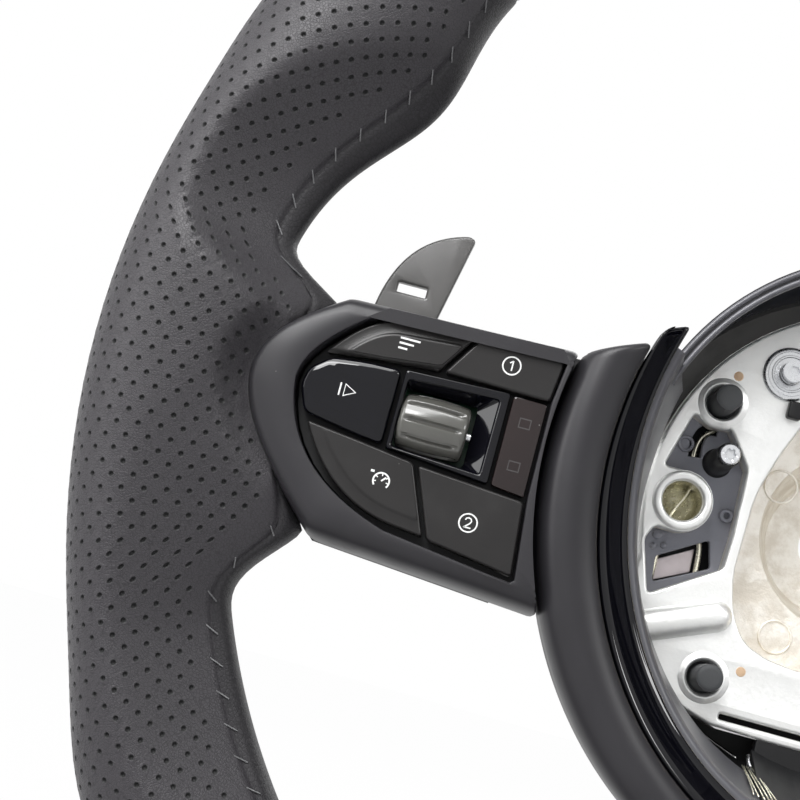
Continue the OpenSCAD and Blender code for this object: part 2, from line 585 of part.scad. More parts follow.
// Shift paddles: a blade behind each spoke, on a pin near the hub
paddle_y = 23;
paddle_axis = [-82, 27, -4];
blade_outline = concat(
    bend([-129, 20], [-127, 40], [-111, 43.6], 6),
    [[-109.4, 43], [-113.5, 22], [-113, 4], [-88, 4], [-88, -14], [-113, -14], [-113, -26], [-128, -26]]);
module paddle(side) color(satin) on_side(side) difference() {
    union() {
        slab(paddle_y, paddle_y + paddle_t) polygon(blade_outline);
        block(-88.5, paddle_axis[0], paddle_y, paddle_y + paddle_t, -14, 4);
        translate([paddle_axis[0], paddle_axis[1], -14]) cylinder(h = 18, r = 4);
    }
    translate([paddle_axis[0], paddle_axis[1], -20]) cylinder(h = 40, r = paddle_pin_d / 2 + running);
    slab(paddle_y - 1, paddle_y + paddle_t + 1)
        polygon(side == left ? minus_sign : plus_sign);
}
minus_sign = [[-124.6, 26.2], [-117.6, 26.2], [-117.6, 28.6], [-124.6, 28.6]];
plus_sign = [[-124.6, 26.2], [-122.3, 26.2], [-122.3, 23.9], [-119.9, 23.9], [-119.9, 26.2], [-117.6, 26.2],
    [-117.6, 28.6], [-119.9, 28.6], [-119.9, 30.9], [-122.3, 30.9], [-122.3, 28.6], [-124.6, 28.6]];
module paddle_bracket(side) color("#1b1b1d") on_side(side) difference() {
    union() {
        for (z = [-19, 4.3]) {
            block(-100, -83, back_y1, paddle_axis[1] + 4, z, z + 4.7);
            block(-84, paddle_axis[0] + 4, paddle_axis[1] - 4, paddle_axis[1] + 4, z, z + 4.7);
        }
        block(-100, -86, back_y1, back_y1 + 2, -19, 9);
    }
    translate([paddle_axis[0], paddle_axis[1], -30]) cylinder(h = 60, r = paddle_pin_d / 2);
}
module paddle_pin(side) color(steel) on_side(side)
    translate([paddle_axis[0], paddle_axis[1], -19]) cylinder(h = 28, r = paddle_pin_d / 2);

armature();
rim_foam();
leather_left();
leather_right();
leather_top();
leather_bottom();
spoke_cover(left);  // spoke_cover_left
spoke_cover(right);  // spoke_cover_right
spoke_back(left);  // spoke_back_left
spoke_back(right);  // spoke_back_right
lower_spoke_cover();
lower_spoke_back();
bezel_matte();
bezel_gloss();
bezel_carrier();
hub_shroud();
lower_tray();
bezel_back();
rear_cover();
switch_housing(left);  // switch_housing_left
switch_housing(right);  // switch_housing_right
switch_board(left);  // switch_board_left
switch_board(right);  // switch_board_right
key_upper_outer(left);  // key_upper_outer_left
key_upper_outer(right);  // key_upper_outer_right
key_upper_inner(left);  // key_upper_inner_left
key_upper_inner(right);  // key_upper_inner_right
key_lower_outer(left);  // key_lower_outer_left
key_lower_outer(right);  // key_lower_outer_right
key_lower_inner(left);  // key_lower_inner_left
key_lower_inner(right);  // key_lower_inner_right
key_resume(left);  // key_resume_left
key_resume(right);  // key_resume_right
key_rocker(left);  // key_rocker_left
key_rocker(right);  // key_rocker_right
roller(left);  // roller_left
roller(right);  // roller_right
roller_frame(left);  // roller_frame_left
roller_frame(right);  // roller_frame_right
roller_axle(left);  // roller_axle_left
roller_axle(right);  // roller_axle_right
contact_plate(left);  // contact_plate_left
contact_plate(right);  // contact_plate_right
retaining_spring(left);  // retaining_spring_left
retaining_spring(right);  // retaining_spring_right
buffers();
plated_discs();
screws();
lower_clip();
paddle(left);  // paddle_left
paddle(right);  // paddle_right
paddle_bracket(left);  // paddle_bracket_left
paddle_bracket(right);  // paddle_bracket_right
paddle_pin(left);  // paddle_pin_left
paddle_pin(right);  // paddle_pin_right
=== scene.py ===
# %% [markdown]
# # A sport steering wheel
# The wheel is a casting with foam and leather round its rim, plastic covers on its spokes, keys and thumb rollers,
# shift paddles, and trim bands round the empty airbag recess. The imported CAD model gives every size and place.
# Here each visible surface gets its fine shape and its finish. The CAD node stays where its shape is right and only
# takes a material, and it is stood for by a finer piece where the real surface is softer than the solid.

# %% Load the frame
import math

import bmesh
import bpy
import numpy as np
from mathutils import Euler, Matrix, Vector


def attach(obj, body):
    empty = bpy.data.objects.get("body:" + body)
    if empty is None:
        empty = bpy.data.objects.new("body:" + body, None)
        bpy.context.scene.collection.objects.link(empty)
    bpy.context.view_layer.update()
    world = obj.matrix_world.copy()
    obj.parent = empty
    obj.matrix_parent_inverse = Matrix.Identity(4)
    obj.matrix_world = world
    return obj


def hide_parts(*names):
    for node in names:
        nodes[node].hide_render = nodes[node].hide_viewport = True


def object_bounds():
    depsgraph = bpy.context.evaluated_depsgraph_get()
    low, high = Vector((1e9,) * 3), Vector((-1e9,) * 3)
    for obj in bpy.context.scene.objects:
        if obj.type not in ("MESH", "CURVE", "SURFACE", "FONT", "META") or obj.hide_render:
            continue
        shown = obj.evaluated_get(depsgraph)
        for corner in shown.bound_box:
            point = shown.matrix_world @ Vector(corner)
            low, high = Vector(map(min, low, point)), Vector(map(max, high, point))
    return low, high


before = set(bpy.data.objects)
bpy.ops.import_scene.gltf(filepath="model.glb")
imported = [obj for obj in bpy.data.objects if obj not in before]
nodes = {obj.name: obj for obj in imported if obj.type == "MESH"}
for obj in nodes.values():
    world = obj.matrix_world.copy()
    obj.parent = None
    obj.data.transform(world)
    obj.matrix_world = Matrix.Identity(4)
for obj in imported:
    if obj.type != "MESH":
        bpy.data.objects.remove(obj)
cad_low, cad_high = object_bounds()
print("CAD nodes", len(nodes), "box", [round(v * 1000, 1) for v in (cad_high - cad_low)])

# %% [markdown]
# ## One way of writing places
# Everything below is written in millimetres, with the depth counted from the rim's middle plane and positive to
# the rear, because that is how a steering wheel is drawn. One helper turns such points into the frame's metres.
# The two spokes mirror each other, so a piece is drawn once for the left and flipped for the right.

# %% Places and mesh pieces
DISH = 95.0
RING_R = 167.2
GRIP_R = 17.8
MM = 0.001
SIDES = (("left", False), ("right", True))


def to_frame(points):
    """Millimetres from the rim's middle plane become metres in the row's frame."""
    p = np.array(points, float).reshape(-1, 3)
    p[:, 1] -= DISH
    return p * MM


def mesh_piece(name, verts, faces, material, body="wheel", slot=None, stands_for=(), flip=False, sharp=35,
               numbers=None, weld=0.0):
    """A mesh object from millimetre points.

    flip mirrors it, numbers pick a finish for each face out of a tuple of materials, weld joins near points,
    and stands_for names the CAD nodes that it replaces.
    """
    p = to_frame(verts)
    if flip:
        p[:, 0] *= -1
        faces = [tuple(reversed(f)) for f in faces]
    mesh = bpy.data.meshes.new(name)
    mesh.from_pydata(p.tolist(), [], [tuple(int(i) for i in f) for f in faces])
    if numbers is not None:
        mesh.polygons.foreach_set("material_index", numbers)
    bm = bmesh.new()
    bm.from_mesh(mesh)
    if weld:
        bmesh.ops.remove_doubles(bm, verts=bm.verts, dist=weld * MM)
        loose = [v for v in bm.verts if not v.link_faces]
        bmesh.ops.delete(bm, geom=loose, context="VERTS")
    bmesh.ops.recalc_face_normals(bm, faces=bm.faces)
    bm.to_mesh(mesh)
    bm.free()
    mesh.polygons.foreach_set("use_smooth", [True] * len(mesh.polygons))
    if sharp:
        mesh.set_sharp_from_angle(angle=math.radians(sharp))
    obj = bpy.data.objects.new(name, mesh)
    bpy.context.scene.collection.objects.link(obj)
    for finish in material if isinstance(material, tuple) else (material,):
        mesh.materials.append(finish)
    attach(obj, body)
    if stands_for:
        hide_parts(*stands_for)
    return obj


def side_pieces(name, shape, finish, slot, node=None, rides=False, **more):
    """The left piece and its mirror image; node is the CAD pair they stand for, and ride on if it moves."""
    for side, flip in SIDES:
        twin = f"{node}_{side}"
        mesh_piece(f"{name}_{side}", *shape, finish, body=twin if rides else "wheel", slot=slot,
                   stands_for=(twin,) if node else (), flip=flip, **more)


def joined(parts):
    """Several (points, faces) lists as one."""
    verts, faces = [], []
    for v, f in parts:
        base = len(verts)
        verts.extend([tuple(p) for p in v])
        faces.extend([tuple(i + base for i in face) for face in f])
    return verts, faces


def loft(rings, closed=True, cap_start=False, cap_end=False, wrap=False):
    """Skins a list of equally long rings of points with quads."""
    n = len(rings[0])
    verts = [tuple(p) for ring in rings for p in ring]
    faces = []
    last = n if closed else n - 1
    count = len(rings)
    for i in range(count if wrap else count - 1):
        a0, b0 = i * n, ((i + 1) % count) * n
        for k in range(last):
            j = (k + 1) % n
            faces.append((a0 + k, a0 + j, b0 + j, b0 + k))
    if cap_start:
        faces.append(tuple(range(n - 1, -1, -1)))
    if cap_end:
        faces.append(tuple((count - 1) * n + k for k in range(n)))
    return verts, faces


def solid(rings):
    return loft(rings, cap_start=True, cap_end=True)


print("helpers ready")

# %% [markdown]
# ## Camera
# The photograph was taken from the driver's side, from the left and a little below, with the camera turned by
# about fifteen degrees. A perspective camera was fitted to the rim, the casting's edge and the hub boss, and its
# place and turn are written here as plain values.

# %% Camera
camera_data = bpy.data.cameras.new("camera")
camera_data.lens = 75.72
camera_data.sensor_width = 36.0
camera_data.clip_start = 0.02
camera = bpy.data.objects.new("camera", camera_data)
bpy.context.scene.collection.objects.link(camera)
pitch, roll, yaw = 0.1458133, -0.2692486, 0.0515955
turn = Euler((pitch, roll, yaw), "YXZ").to_matrix()
right, forward, up = turn.col[0], turn.col[1], turn.col[2]
camera.matrix_world = Matrix((
    (right.x, up.x, -forward.x, -0.09664),
    (right.y, up.y, -forward.y, -0.46337),
    (right.z, up.z, -forward.z, -0.05653),
    (0, 0, 0, 1)))
bpy.context.scene.camera = camera
print("camera looks along", [round(v, 3) for v in forward])

# %% [markdown]
# ## Light, floor and backdrop
# A black and dark grey object needs broad, soft light, so that its curves show as gradients. One large panel from
# above and in front does most of the work, a second fills from the left and a third lifts the rear. Four small
# lamps show in glossy surfaces only, so that edges glint. The world and the floor look white to the camera and in
# reflections, while they light the object at a moderate level.

# %% Light and floor
WORLD_SOFT, FLOOR_GLOW = 0.27, 0.985
FLOOR_SIZE, FLOOR_DROP = 12, 0.002
HUB_FRONT = (-0.08, -0.1, 0)
# Name, place, target, width and height, watts, and whether it lights matte surfaces too
LAMPS = (
    ("top_panel", (-0.55, -0.80, 0.95), (-0.05, -0.08, 0), (0.9, 0.7), 19, True),
    ("left_panel", (-1.3, -0.6, 0.35), (-0.1, -0.08, 0), (0.6, 0.9), 9.5, True),
    ("rear_panel", (0.4, 1.2, 0.9), (0, 0, 0), (1.2, 0.8), 8, True),
    ("shine_left", (-0.40, -0.72, 0.42), HUB_FRONT, (0.34, 0.22), 5, False),
    ("shine_high", (-0.30, -0.55, 1.10), HUB_FRONT, (0.9, 0.10), 6, False),
    ("shine_right", (0.85, -0.75, 0.55), HUB_FRONT, (0.55, 0.12), 4, False),
    ("glint", (-1.1, -0.50, 0.22), HUB_FRONT, (0.02, 0.10), 0.35, False),
)


def feed(tree, value, socket):
    """Sets a socket to a number, or links it to another socket."""
    if isinstance(value, (int, float)):
        socket.default_value = value
    else:
        tree.links.new(value, socket)


def math_node(tree, operation, a, b):
    node = tree.nodes.new("ShaderNodeMath")
    node.operation = operation
    feed(tree, a, node.inputs[0])
    feed(tree, b, node.inputs[1])
    return node.outputs[0]


def camera_mask(tree):
    """1 where a ray comes from the camera, a mirror or a glass."""
    path = tree.nodes.new("ShaderNodeLightPath").outputs
    seen = math_node(tree, "MAXIMUM", path["Is Camera Ray"], path["Is Glossy Ray"])
    return math_node(tree, "MAXIMUM", seen, path["Is Transmission Ray"])


def even_shader(tree, kind, colour, strength=None):
    node = tree.nodes.new(kind)
    node.inputs["Color"].default_value = (*colour, 1)
    if strength is not None:
        node.inputs["Strength"].default_value = strength
    return node.outputs[0]


def lit_or_seen(tree, mask, lit, seen, output):
    """One shader for the rays that light the object, another for the rays that look at it."""
    mix = tree.nodes.new("ShaderNodeMixShader")
    for value, socket in zip((mask, lit, seen), mix.inputs):
        tree.links.new(value, socket)
    tree.links.new(mix.outputs[0], tree.nodes.new(output).inputs["Surface"])


world = bpy.data.worlds.new("world")
bpy.context.scene.world = world
world.use_nodes = True
tree = world.node_tree
tree.nodes.clear()
lit_or_seen(tree, camera_mask(tree), even_shader(tree, "ShaderNodeBackground", (0.95, 0.97, 1.0), WORLD_SOFT),
            even_shader(tree, "ShaderNodeBackground", (1, 1, 1), 1.0), "ShaderNodeOutputWorld")

for name, place, target, size, watts, lights_matte in LAMPS:
    data = bpy.data.lights.new(name, "AREA")
    data.shape = "RECTANGLE"
    data.size, data.size_y = size
    data.energy = watts
    lamp = bpy.data.objects.new(name, data)
    bpy.context.scene.collection.objects.link(lamp)
    lamp.location = place
    lamp.rotation_euler = (Vector(target) - Vector(place)).to_track_quat("-Z", "Y").to_euler()
    lamp.visible_diffuse = lights_matte

floor_z = cad_low.z - FLOOR_DROP
bpy.ops.mesh.primitive_plane_add(size=FLOOR_SIZE, location=(0, 0, floor_z))
floor = bpy.context.object
floor.name = "floor"
floor_finish = bpy.data.materials.new("floor_paint")
floor_finish.use_nodes = True
tree = floor_finish.node_tree
tree.nodes.clear()
lit_or_seen(tree, math_node(tree, "MULTIPLY", camera_mask(tree), FLOOR_GLOW),
            even_shader(tree, "ShaderNodeBsdfDiffuse", (0.92, 0.92, 0.92)),
            even_shader(tree, "ShaderNodeEmission", (1, 1, 1), 1.0), "ShaderNodeOutputMaterial")
floor.data.materials.append(floor_finish)
bpy.context.scene.view_settings.view_transform = "Standard"
print("floor at", round(floor_z * 1000, 1), "mm")

# %% [markdown]
# ## Shader groups
# Three effects are used by many materials, so each is a node group: the fine grain of moulded plastic, the cells
# and creases of leather, and the specks of dust and rubbed spots that a used part carries. They give out heights
# and masks only. The shader itself stays in each material.

# %% Shader groups


def new_group(name, inputs, outputs):
    """A shader node group with named sockets; numbers are floats, 4-tuples are colours."""
    group = bpy.data.node_groups.new(name, "ShaderNodeTree")
    for label, value in inputs:
        kind = "NodeSocketColor" if isinstance(value, tuple) else "NodeSocketFloat"
        socket = group.interface.new_socket(name=label, in_out="INPUT", socket_type=kind)
        socket.default_value = value
    for label in outputs:
        group.interface.new_socket(name=label, in_out="OUTPUT", socket_type="NodeSocketFloat")
    return group, group.nodes.new("NodeGroupInput"), group.nodes.new("NodeGroupOutput")


def band_node(tree, value, low, high, to_low=0.0, to_high=1.0):
    node = tree.nodes.new("ShaderNodeMapRange")
    node.interpolation_type = "SMOOTHSTEP"
    tree.links.new(value, node.inputs["Value"])
    for label, number in (("From Min", low), ("From Max", high), ("To Min", to_low), ("To Max", to_high)):
        node.inputs[label].default_value = number
    return node.outputs[0]


def noise_node(tree, vector, scale, detail=2.0, rough=0.5):
    """Noise with cells of about 1/scale metres; scale is a number or a socket."""
    node = tree.nodes.new("ShaderNodeTexNoise")
    tree.links.new(vector, node.inputs["Vector"])
    feed(tree, scale, node.inputs["Scale"])
    node.inputs["Detail"].default_value = detail
    node.inputs["Roughness"].default_value = rough
    return node.outputs["Fac"]


grain_group, g_in, g_out = new_group("moulded_grain", [("Scale", 2600.0)], ["Height", "Mottle"])
coords = grain_group.nodes.new("ShaderNodeTexCoord").outputs["Object"]
fine = noise_node(grain_group, coords, g_in.outputs["Scale"], 3.0, 0.6)
broad = noise_node(grain_group, coords, 60.0, 3.0)
grain_group.links.new(fine, g_out.inputs["Height"])
grain_group.links.new(broad, g_out.inputs["Mottle"])

leather_group, g_in, g_out = new_group("leather_grain", [("Scale", 1500.0)], ["Height", "Crease", "Mottle"])
coords = leather_group.nodes.new("ShaderNodeTexCoord").outputs["Object"]
cells = leather_group.nodes.new("ShaderNodeTexVoronoi")
cells.feature = "DISTANCE_TO_EDGE"
leather_group.links.new(coords, cells.inputs["Vector"])
leather_group.links.new(g_in.outputs["Scale"], cells.inputs["Scale"])
crease = band_node(leather_group, cells.outputs["Distance"], 0.0, 0.16)
fine = noise_node(leather_group, coords, 5200.0, 2.0)
broad = noise_node(leather_group, coords, 45.0, 4.0, 0.6)
height = math_node(leather_group, "ADD", math_node(leather_group, "MULTIPLY", crease, 0.7),
                   math_node(leather_group, "MULTIPLY", fine, 0.5))
leather_group.links.new(height, g_out.inputs["Height"])
leather_group.links.new(crease, g_out.inputs["Crease"])
leather_group.links.new(broad, g_out.inputs["Mottle"])

dust_group, g_in, g_out = new_group("dust_and_rub", [("Amount", 0.5)], ["Speck", "Rub"])
coords = dust_group.nodes.new("ShaderNodeTexCoord").outputs["Object"]
flecks = dust_group.nodes.new("ShaderNodeTexVoronoi")
flecks.inputs["Scale"].default_value = 260.0
dust_group.links.new(coords, flecks.inputs["Vector"])
near = band_node(dust_group, flecks.outputs["Distance"], 0.05, 0.02)
chance = dust_group.nodes.new("ShaderNodeSeparateColor")
dust_group.links.new(flecks.outputs["Color"], chance.inputs["Color"])
rare = math_node(dust_group, "GREATER_THAN", chance.outputs[0], 0.93)
speck = math_node(dust_group, "MULTIPLY", math_node(dust_group, "MULTIPLY", near, rare), g_in.outputs["Amount"])
rub = band_node(dust_group, noise_node(dust_group, coords, 35.0, 5.0, 0.7), 0.45, 0.75)
dust_group.links.new(speck, g_out.inputs["Speck"])
dust_group.links.new(math_node(dust_group, "MULTIPLY", rub, g_in.outputs["Amount"]), g_out.inputs["Rub"])
print("groups", [g.name for g in bpy.data.node_groups])

# %% [markdown]
# ## Finishes
# Each material places those groups with its own values. Colour varies a little with the broad mottle, roughness
# with the rubbed spots, and the grain's height feeds a Bump node. Leather has the creased cells, the metals are
# blasted or turned, and the moulded plastics differ in colour, gloss and grain, as they do on the real wheel.

# %% Finishes
DUST = (0.35, 0.34, 0.33)


def shade(colour, share):
    return tuple(c * share for c in colour)


def group_node(tree, group, **values):
    node = tree.nodes.new("ShaderNodeGroup")
    node.node_tree = group
    for label, value in values.items():
        node.inputs[label].default_value = value
    return node


def colour_mix(tree, mask, first, second):
    """Blends two colours by a mask; 0, 6, 7 and 2 are the Mix node's colour sockets."""
    node = tree.nodes.new("ShaderNodeMix")
    node.data_type = "RGBA"
    tree.links.new(mask, node.inputs[0])
    for socket, value in ((node.inputs[6], first), (node.inputs[7], second)):
        if isinstance(value, tuple):
            socket.default_value = (*value, 1)
        else:
            tree.links.new(value, socket)
    return node.outputs[2]


def bump_node(tree, height, depth_mm, strength=1.0, under=None):
    """A bump of a depth in millimetres, on top of another normal where one is given."""
    node = tree.nodes.new("ShaderNodeBump")
    node.inputs["Strength"].default_value = strength
    node.inputs["Distance"].default_value = depth_mm * MM
    tree.links.new(height, node.inputs["Height"])
    if under:
        tree.links.new(under, node.inputs["Normal"])
    return node.outputs["Normal"]


def plain_finish(name):
    material = bpy.data.materials.new(name)
    material.use_nodes = True
    tree = material.node_tree
    return material, tree, tree.nodes["Principled BSDF"]


def plastic(name, colour, rough, grain=2600.0, depth=0.02, vary=0.25, dust=0.4, specular=0.5):
    """Moulded plastic: mottled colour, fine grain, a few specks of dust."""
    material, tree, shader = plain_finish(name)
    texture = group_node(tree, grain_group, Scale=grain)
    dirt = group_node(tree, dust_group, Amount=dust)
    base = colour_mix(tree, texture.outputs["Mottle"], shade(colour, 1 - vary), shade(colour, 1 + vary))
    base = colour_mix(tree, dirt.outputs["Speck"], base, DUST)
    tree.links.new(base, shader.inputs["Base Color"])
    low, high = max(0.02, rough - 0.06), min(1.0, rough + 0.08)
    tree.links.new(band_node(tree, dirt.outputs["Rub"], 0.0, 0.5, low, high), shader.inputs["Roughness"])
    tree.links.new(bump_node(tree, texture.outputs["Height"], depth), shader.inputs["Normal"])
    shader.inputs["Specular IOR Level"].default_value = specular
    return material


def metal(name, colour, rough, grain=900.0, depth=0.05, stain=(0.5, 0.48, 0.45), stain_share=0.3, metallic=1.0):
    """Cast or plated metal: rough grain, faint stains, roughness that varies."""
    material, tree, shader = plain_finish(name)
    texture = group_node(tree, grain_group, Scale=grain)
    dirt = group_node(tree, dust_group, Amount=stain_share)
    base = colour_mix(tree, texture.outputs["Mottle"], shade(colour, 0.9), colour)
    base = colour_mix(tree, dirt.outputs["Rub"], base, stain)
    tree.links.new(base, shader.inputs["Base Color"])
    tree.links.new(band_node(tree, texture.outputs["Height"], 0.3, 0.7, rough - 0.06, rough + 0.08),
                   shader.inputs["Roughness"])
    tree.links.new(bump_node(tree, texture.outputs["Height"], depth), shader.inputs["Normal"])
    shader.inputs["Metallic"].default_value = metallic
    return material


def hide(name, colour, rough, cell=1500.0, depth=0.05):
    """Leather: creased cells, soft sheen, and colour painted a little darker in the creases as shade."""
    material, tree, shader = plain_finish(name)
    texture = group_node(tree, leather_group, Scale=cell)
    base = colour_mix(tree, texture.outputs["Mottle"], shade(colour, 0.82), shade(colour, 1.2))
    # Painted shade: the creases are coloured darker.
    creased = colour_mix(tree, texture.outputs["Crease"], shade(colour, 0.6), base)
    tree.links.new(creased, shader.inputs["Base Color"])
    tree.links.new(band_node(tree, texture.outputs["Crease"], 0.0, 1.0, rough + 0.12, rough),
                   shader.inputs["Roughness"])
    tree.links.new(bump_node(tree, texture.outputs["Height"], depth), shader.inputs["Normal"])
    shader.inputs["Specular IOR Level"].default_value = 0.32
    shader.inputs["Sheen Weight"].default_value = 0.05
    shader.inputs["Sheen Roughness"].default_value = 0.4
    return material


perforated_leather = hide("perforated_leather", (0.036, 0.033, 0.038), 0.42)
# Painted shade: the smooth leather's colour is about half the perforated leather's, as shade for the inner strip that
# faces the hub; the top and bottom panels share it.
smooth_leather = hide("smooth_leather", (0.017, 0.0155, 0.0185), 0.52, 1100.0, 0.06)
# Painted highlight: the thread itself is dark, and this light grey stands for the glints along the seams.
thread = plastic("lacing_thread", (0.13, 0.13, 0.135), 0.35, 4000.0, 0.03)
foam = plastic("moulded_foam", (0.05, 0.05, 0.052), 0.9, 1200.0, 0.1)
matte_trim = plastic("matte_trim", (0.020, 0.020, 0.022), 0.46, 3000.0, 0.015, specular=0.25)
soft_touch = plastic("soft_touch_trim", (0.024, 0.023, 0.026), 0.44, 3600.0, 0.010, specular=0.25)
satin_keys = plastic("satin_keys", (0.019, 0.018, 0.018), 0.36, 3400.0, 0.012, specular=0.25)
roller_satin = plastic("roller_satin", (0.085, 0.084, 0.076), 0.25, 3000.0, 0.008, specular=0.6)
gloss_trim = plastic("gloss_trim", (0.003, 0.003, 0.005), 0.06, 500.0, 0.0004, dust=0.35, specular=0.3)
smoked_panel = plastic("smoked_panel", (0.016, 0.010, 0.010), 0.09, 500.0, 0.0006, dust=0.5, specular=0.4)
shroud_grey = plastic("shroud_grey", (0.115, 0.115, 0.128), 0.38, 1800.0, 0.02, specular=0.35)
navy_gloss = plastic("navy_inside", (0.006, 0.008, 0.016), 0.30, 1200.0, 0.01, specular=0.08)
housing_black = plastic("housing_black", (0.012, 0.012, 0.013), 0.5, 2200.0, 0.02, specular=0.25)
slate_plastic = plastic("slate_plastic", (0.21, 0.215, 0.25), 0.40, 2000.0, 0.02)
board_green = plastic("solder_mask", (0.02, 0.12, 0.05), 0.35, 1500.0, 0.01)
rubber = plastic("buffer_rubber", (0.055, 0.058, 0.062), 0.7, 1600.0, 0.04)
paddle_grey = plastic("paddle_grey", (0.18, 0.175, 0.17), 0.36, 2600.0, 0.008)
mark_white = plastic("printed_mark", (0.80, 0.80, 0.79), 0.5, 3000.0, 0.004, vary=0.03, dust=0.0)
CASTING = {"colour": (0.95, 0.955, 0.94), "rough": 0.40, "grain": 1100.0, "depth": 0.04,
           "stain": (0.80, 0.79, 0.75), "metallic": 0.6}
cast_metal = metal("cast_metal", **CASTING)
plated_steel = metal("plated_steel", (0.66, 0.67, 0.69), 0.28, 1500.0, 0.005)
spring_wire = metal("spring_wire", (0.86, 0.83, 0.68), 0.3, 1500.0, 0.01)
cup_metal = metal("cup_metal", (0.62, 0.60, 0.49), 0.30, 1500.0, 0.02)
window_metal = metal("window_metal", (0.50, 0.45, 0.46), 0.38, 700.0, 0.05)

# The casting turns to a rough, warm surface below its plate
ROUGH_FROM, ROUGH_FULL = 38.0, 41.5
rough_cast = metal("rough_casting", **CASTING)
tree = rough_cast.node_tree
shader = tree.nodes["Principled BSDF"]
place = tree.nodes.new("ShaderNodeTexCoord").outputs["Object"]
parts = tree.nodes.new("ShaderNodeSeparateXYZ")
tree.links.new(place, parts.inputs[0])
deep = band_node(tree, parts.outputs["Y"], (ROUGH_FROM - DISH) * MM, (ROUGH_FULL - DISH) * MM)
lumps = noise_node(tree, place, 130.0, 6.0, 0.65)
warm = colour_mix(tree, band_node(tree, lumps, 0.34, 0.60), (0.72, 0.67, 0.59), (0.90, 0.87, 0.81))
plain = shader.inputs["Base Color"].links[0].from_socket
tree.links.new(colour_mix(tree, deep, plain, warm), shader.inputs["Base Color"])
rough_bump = bump_node(tree, math_node(tree, "MULTIPLY", deep, lumps), 0.7, 0.9,
                       shader.inputs["Normal"].links[0].from_socket)
tree.links.new(rough_bump, shader.inputs["Normal"])
print("finishes", len(bpy.data.materials))

# %% [markdown]
# ## The nodes that keep their own shape
# Hidden and machined pieces are exact already: the casting, the housings, boards, pins and rear shells. Every node
# gets its finish on the object's own material slot, also where a finer piece stands for it later.

# %% Finish the CAD nodes
CAD_FINISH = {
    "armature": rough_cast, "rim_foam": foam, "leather_left": perforated_leather, "leather_right": perforated_leather,
    "leather_top": smooth_leather, "leather_bottom": smooth_leather, "lower_spoke_cover": soft_touch,
    "lower_spoke_back": matte_trim, "bezel_matte": soft_touch, "bezel_gloss": gloss_trim, "bezel_carrier": matte_trim,
    "hub_shroud": shroud_grey, "lower_tray": housing_black, "bezel_back": matte_trim, "rear_cover": matte_trim,
    "buffers": rubber, "plated_discs": plated_steel, "screws": plated_steel, "lower_clip": plated_steel,
}
SIDE_FINISH = {
    "spoke_cover": matte_trim, "spoke_back": matte_trim, "switch_housing": housing_black, "switch_board": board_green,
    "key_upper_outer": satin_keys, "key_upper_inner": satin_keys, "key_lower_outer": satin_keys,
    "key_lower_inner": satin_keys, "key_resume": gloss_trim, "key_rocker": smoked_panel, "roller": roller_satin,
    "roller_frame": gloss_trim, "roller_axle": plated_steel, "contact_plate": slate_plastic,
    "retaining_spring": spring_wire, "paddle": paddle_grey, "paddle_bracket": housing_black, "paddle_pin": plated_steel,
}
for kind, finish in SIDE_FINISH.items():
    for side, _ in SIDES:
        CAD_FINISH[f"{kind}_{side}"] = finish
for name, finish in CAD_FINISH.items():
    mesh = nodes[name].data
    mesh.materials.clear()
    mesh.materials.append(finish)
unfinished = sorted(set(nodes) - set(CAD_FINISH))
print("finished", len(CAD_FINISH), "nodes, left over", unfinished)

# %% [markdown]
# ## The rim's surface
# The grip is a ring whose section changes with the clock angle: it swells at the thumb rests, flares into the
# spokes, and a slanted press flattens its front so that two ridges run along it. The CAD source draws it with
# coarse steps; the same formula, sampled finely and softened between its table values, gives the leather here.

# %% The rim's surface
BLUR, TABLE_STEP = 1.4, 0.2
CREASE = 2.0
SECTION_STEPS, SHARE_STEPS = 320, 240
LOWER_HALF, LOWER_END, LOWER_IN = 30.0, 21.0, -78
SPOKE_IN = 94.0
LEATHER_REST, TUCK_WIDTH = (-9.2, 10.5), 7.0
DIVE, DIVE_FROM, DIVE_FULL = 1.3, 0.9, -1.4
SEAM = 150.0


def ramp(a, b, x):
    t = np.clip((x - a) / (b - a), 0, 1)
    return t * t * (3 - 2 * t)


def hump(centre, width, x):
    return np.exp(-((x - centre) / width) ** 2)


def left_angle(th):
    t = np.mod(th, 360.0)
    return np.where((t > 90) & (t < 270), t, 180 - np.where(t >= 270, t - 360, t))


def soft_table(rows):
    """A table read along the clock angle, with its corners softened."""
    at, value = np.array(rows, float).T
    grid = np.arange(60.0, 300.1, TABLE_STEP)
    line = np.interp(grid, at, value)
    reach = int(4 * BLUR / TABLE_STEP)
    kernel = np.exp(-0.5 * (np.arange(-reach, reach + 1) * TABLE_STEP / BLUR) ** 2)
    line = np.convolve(np.pad(line, reach, mode="edge"), kernel / kernel.sum(), mode="valid")
    return lambda a: np.interp(a, grid, line)


press_depth = soft_table([[90, 24], [138, 30], [146, 25], [152, 20.8], [158, 15], [165, 10.4], [170, 10.6], [173, 13],
                          [176, 22], [178, 24.2], [181, 21.5], [188.6, 17.5], [196, 14.8], [203, 11.2], [212, 11.8],
                          [222, 16], [236, 24]])
press_tilt = soft_table([[90, 125], [146, 138], [152, 132.7], [158, 123], [165, 117], [173, 116], [176, 126],
                         [178, 130], [181, 125], [188.6, 103], [196, 107], [203, 115], [212, 118], [270, 120]])


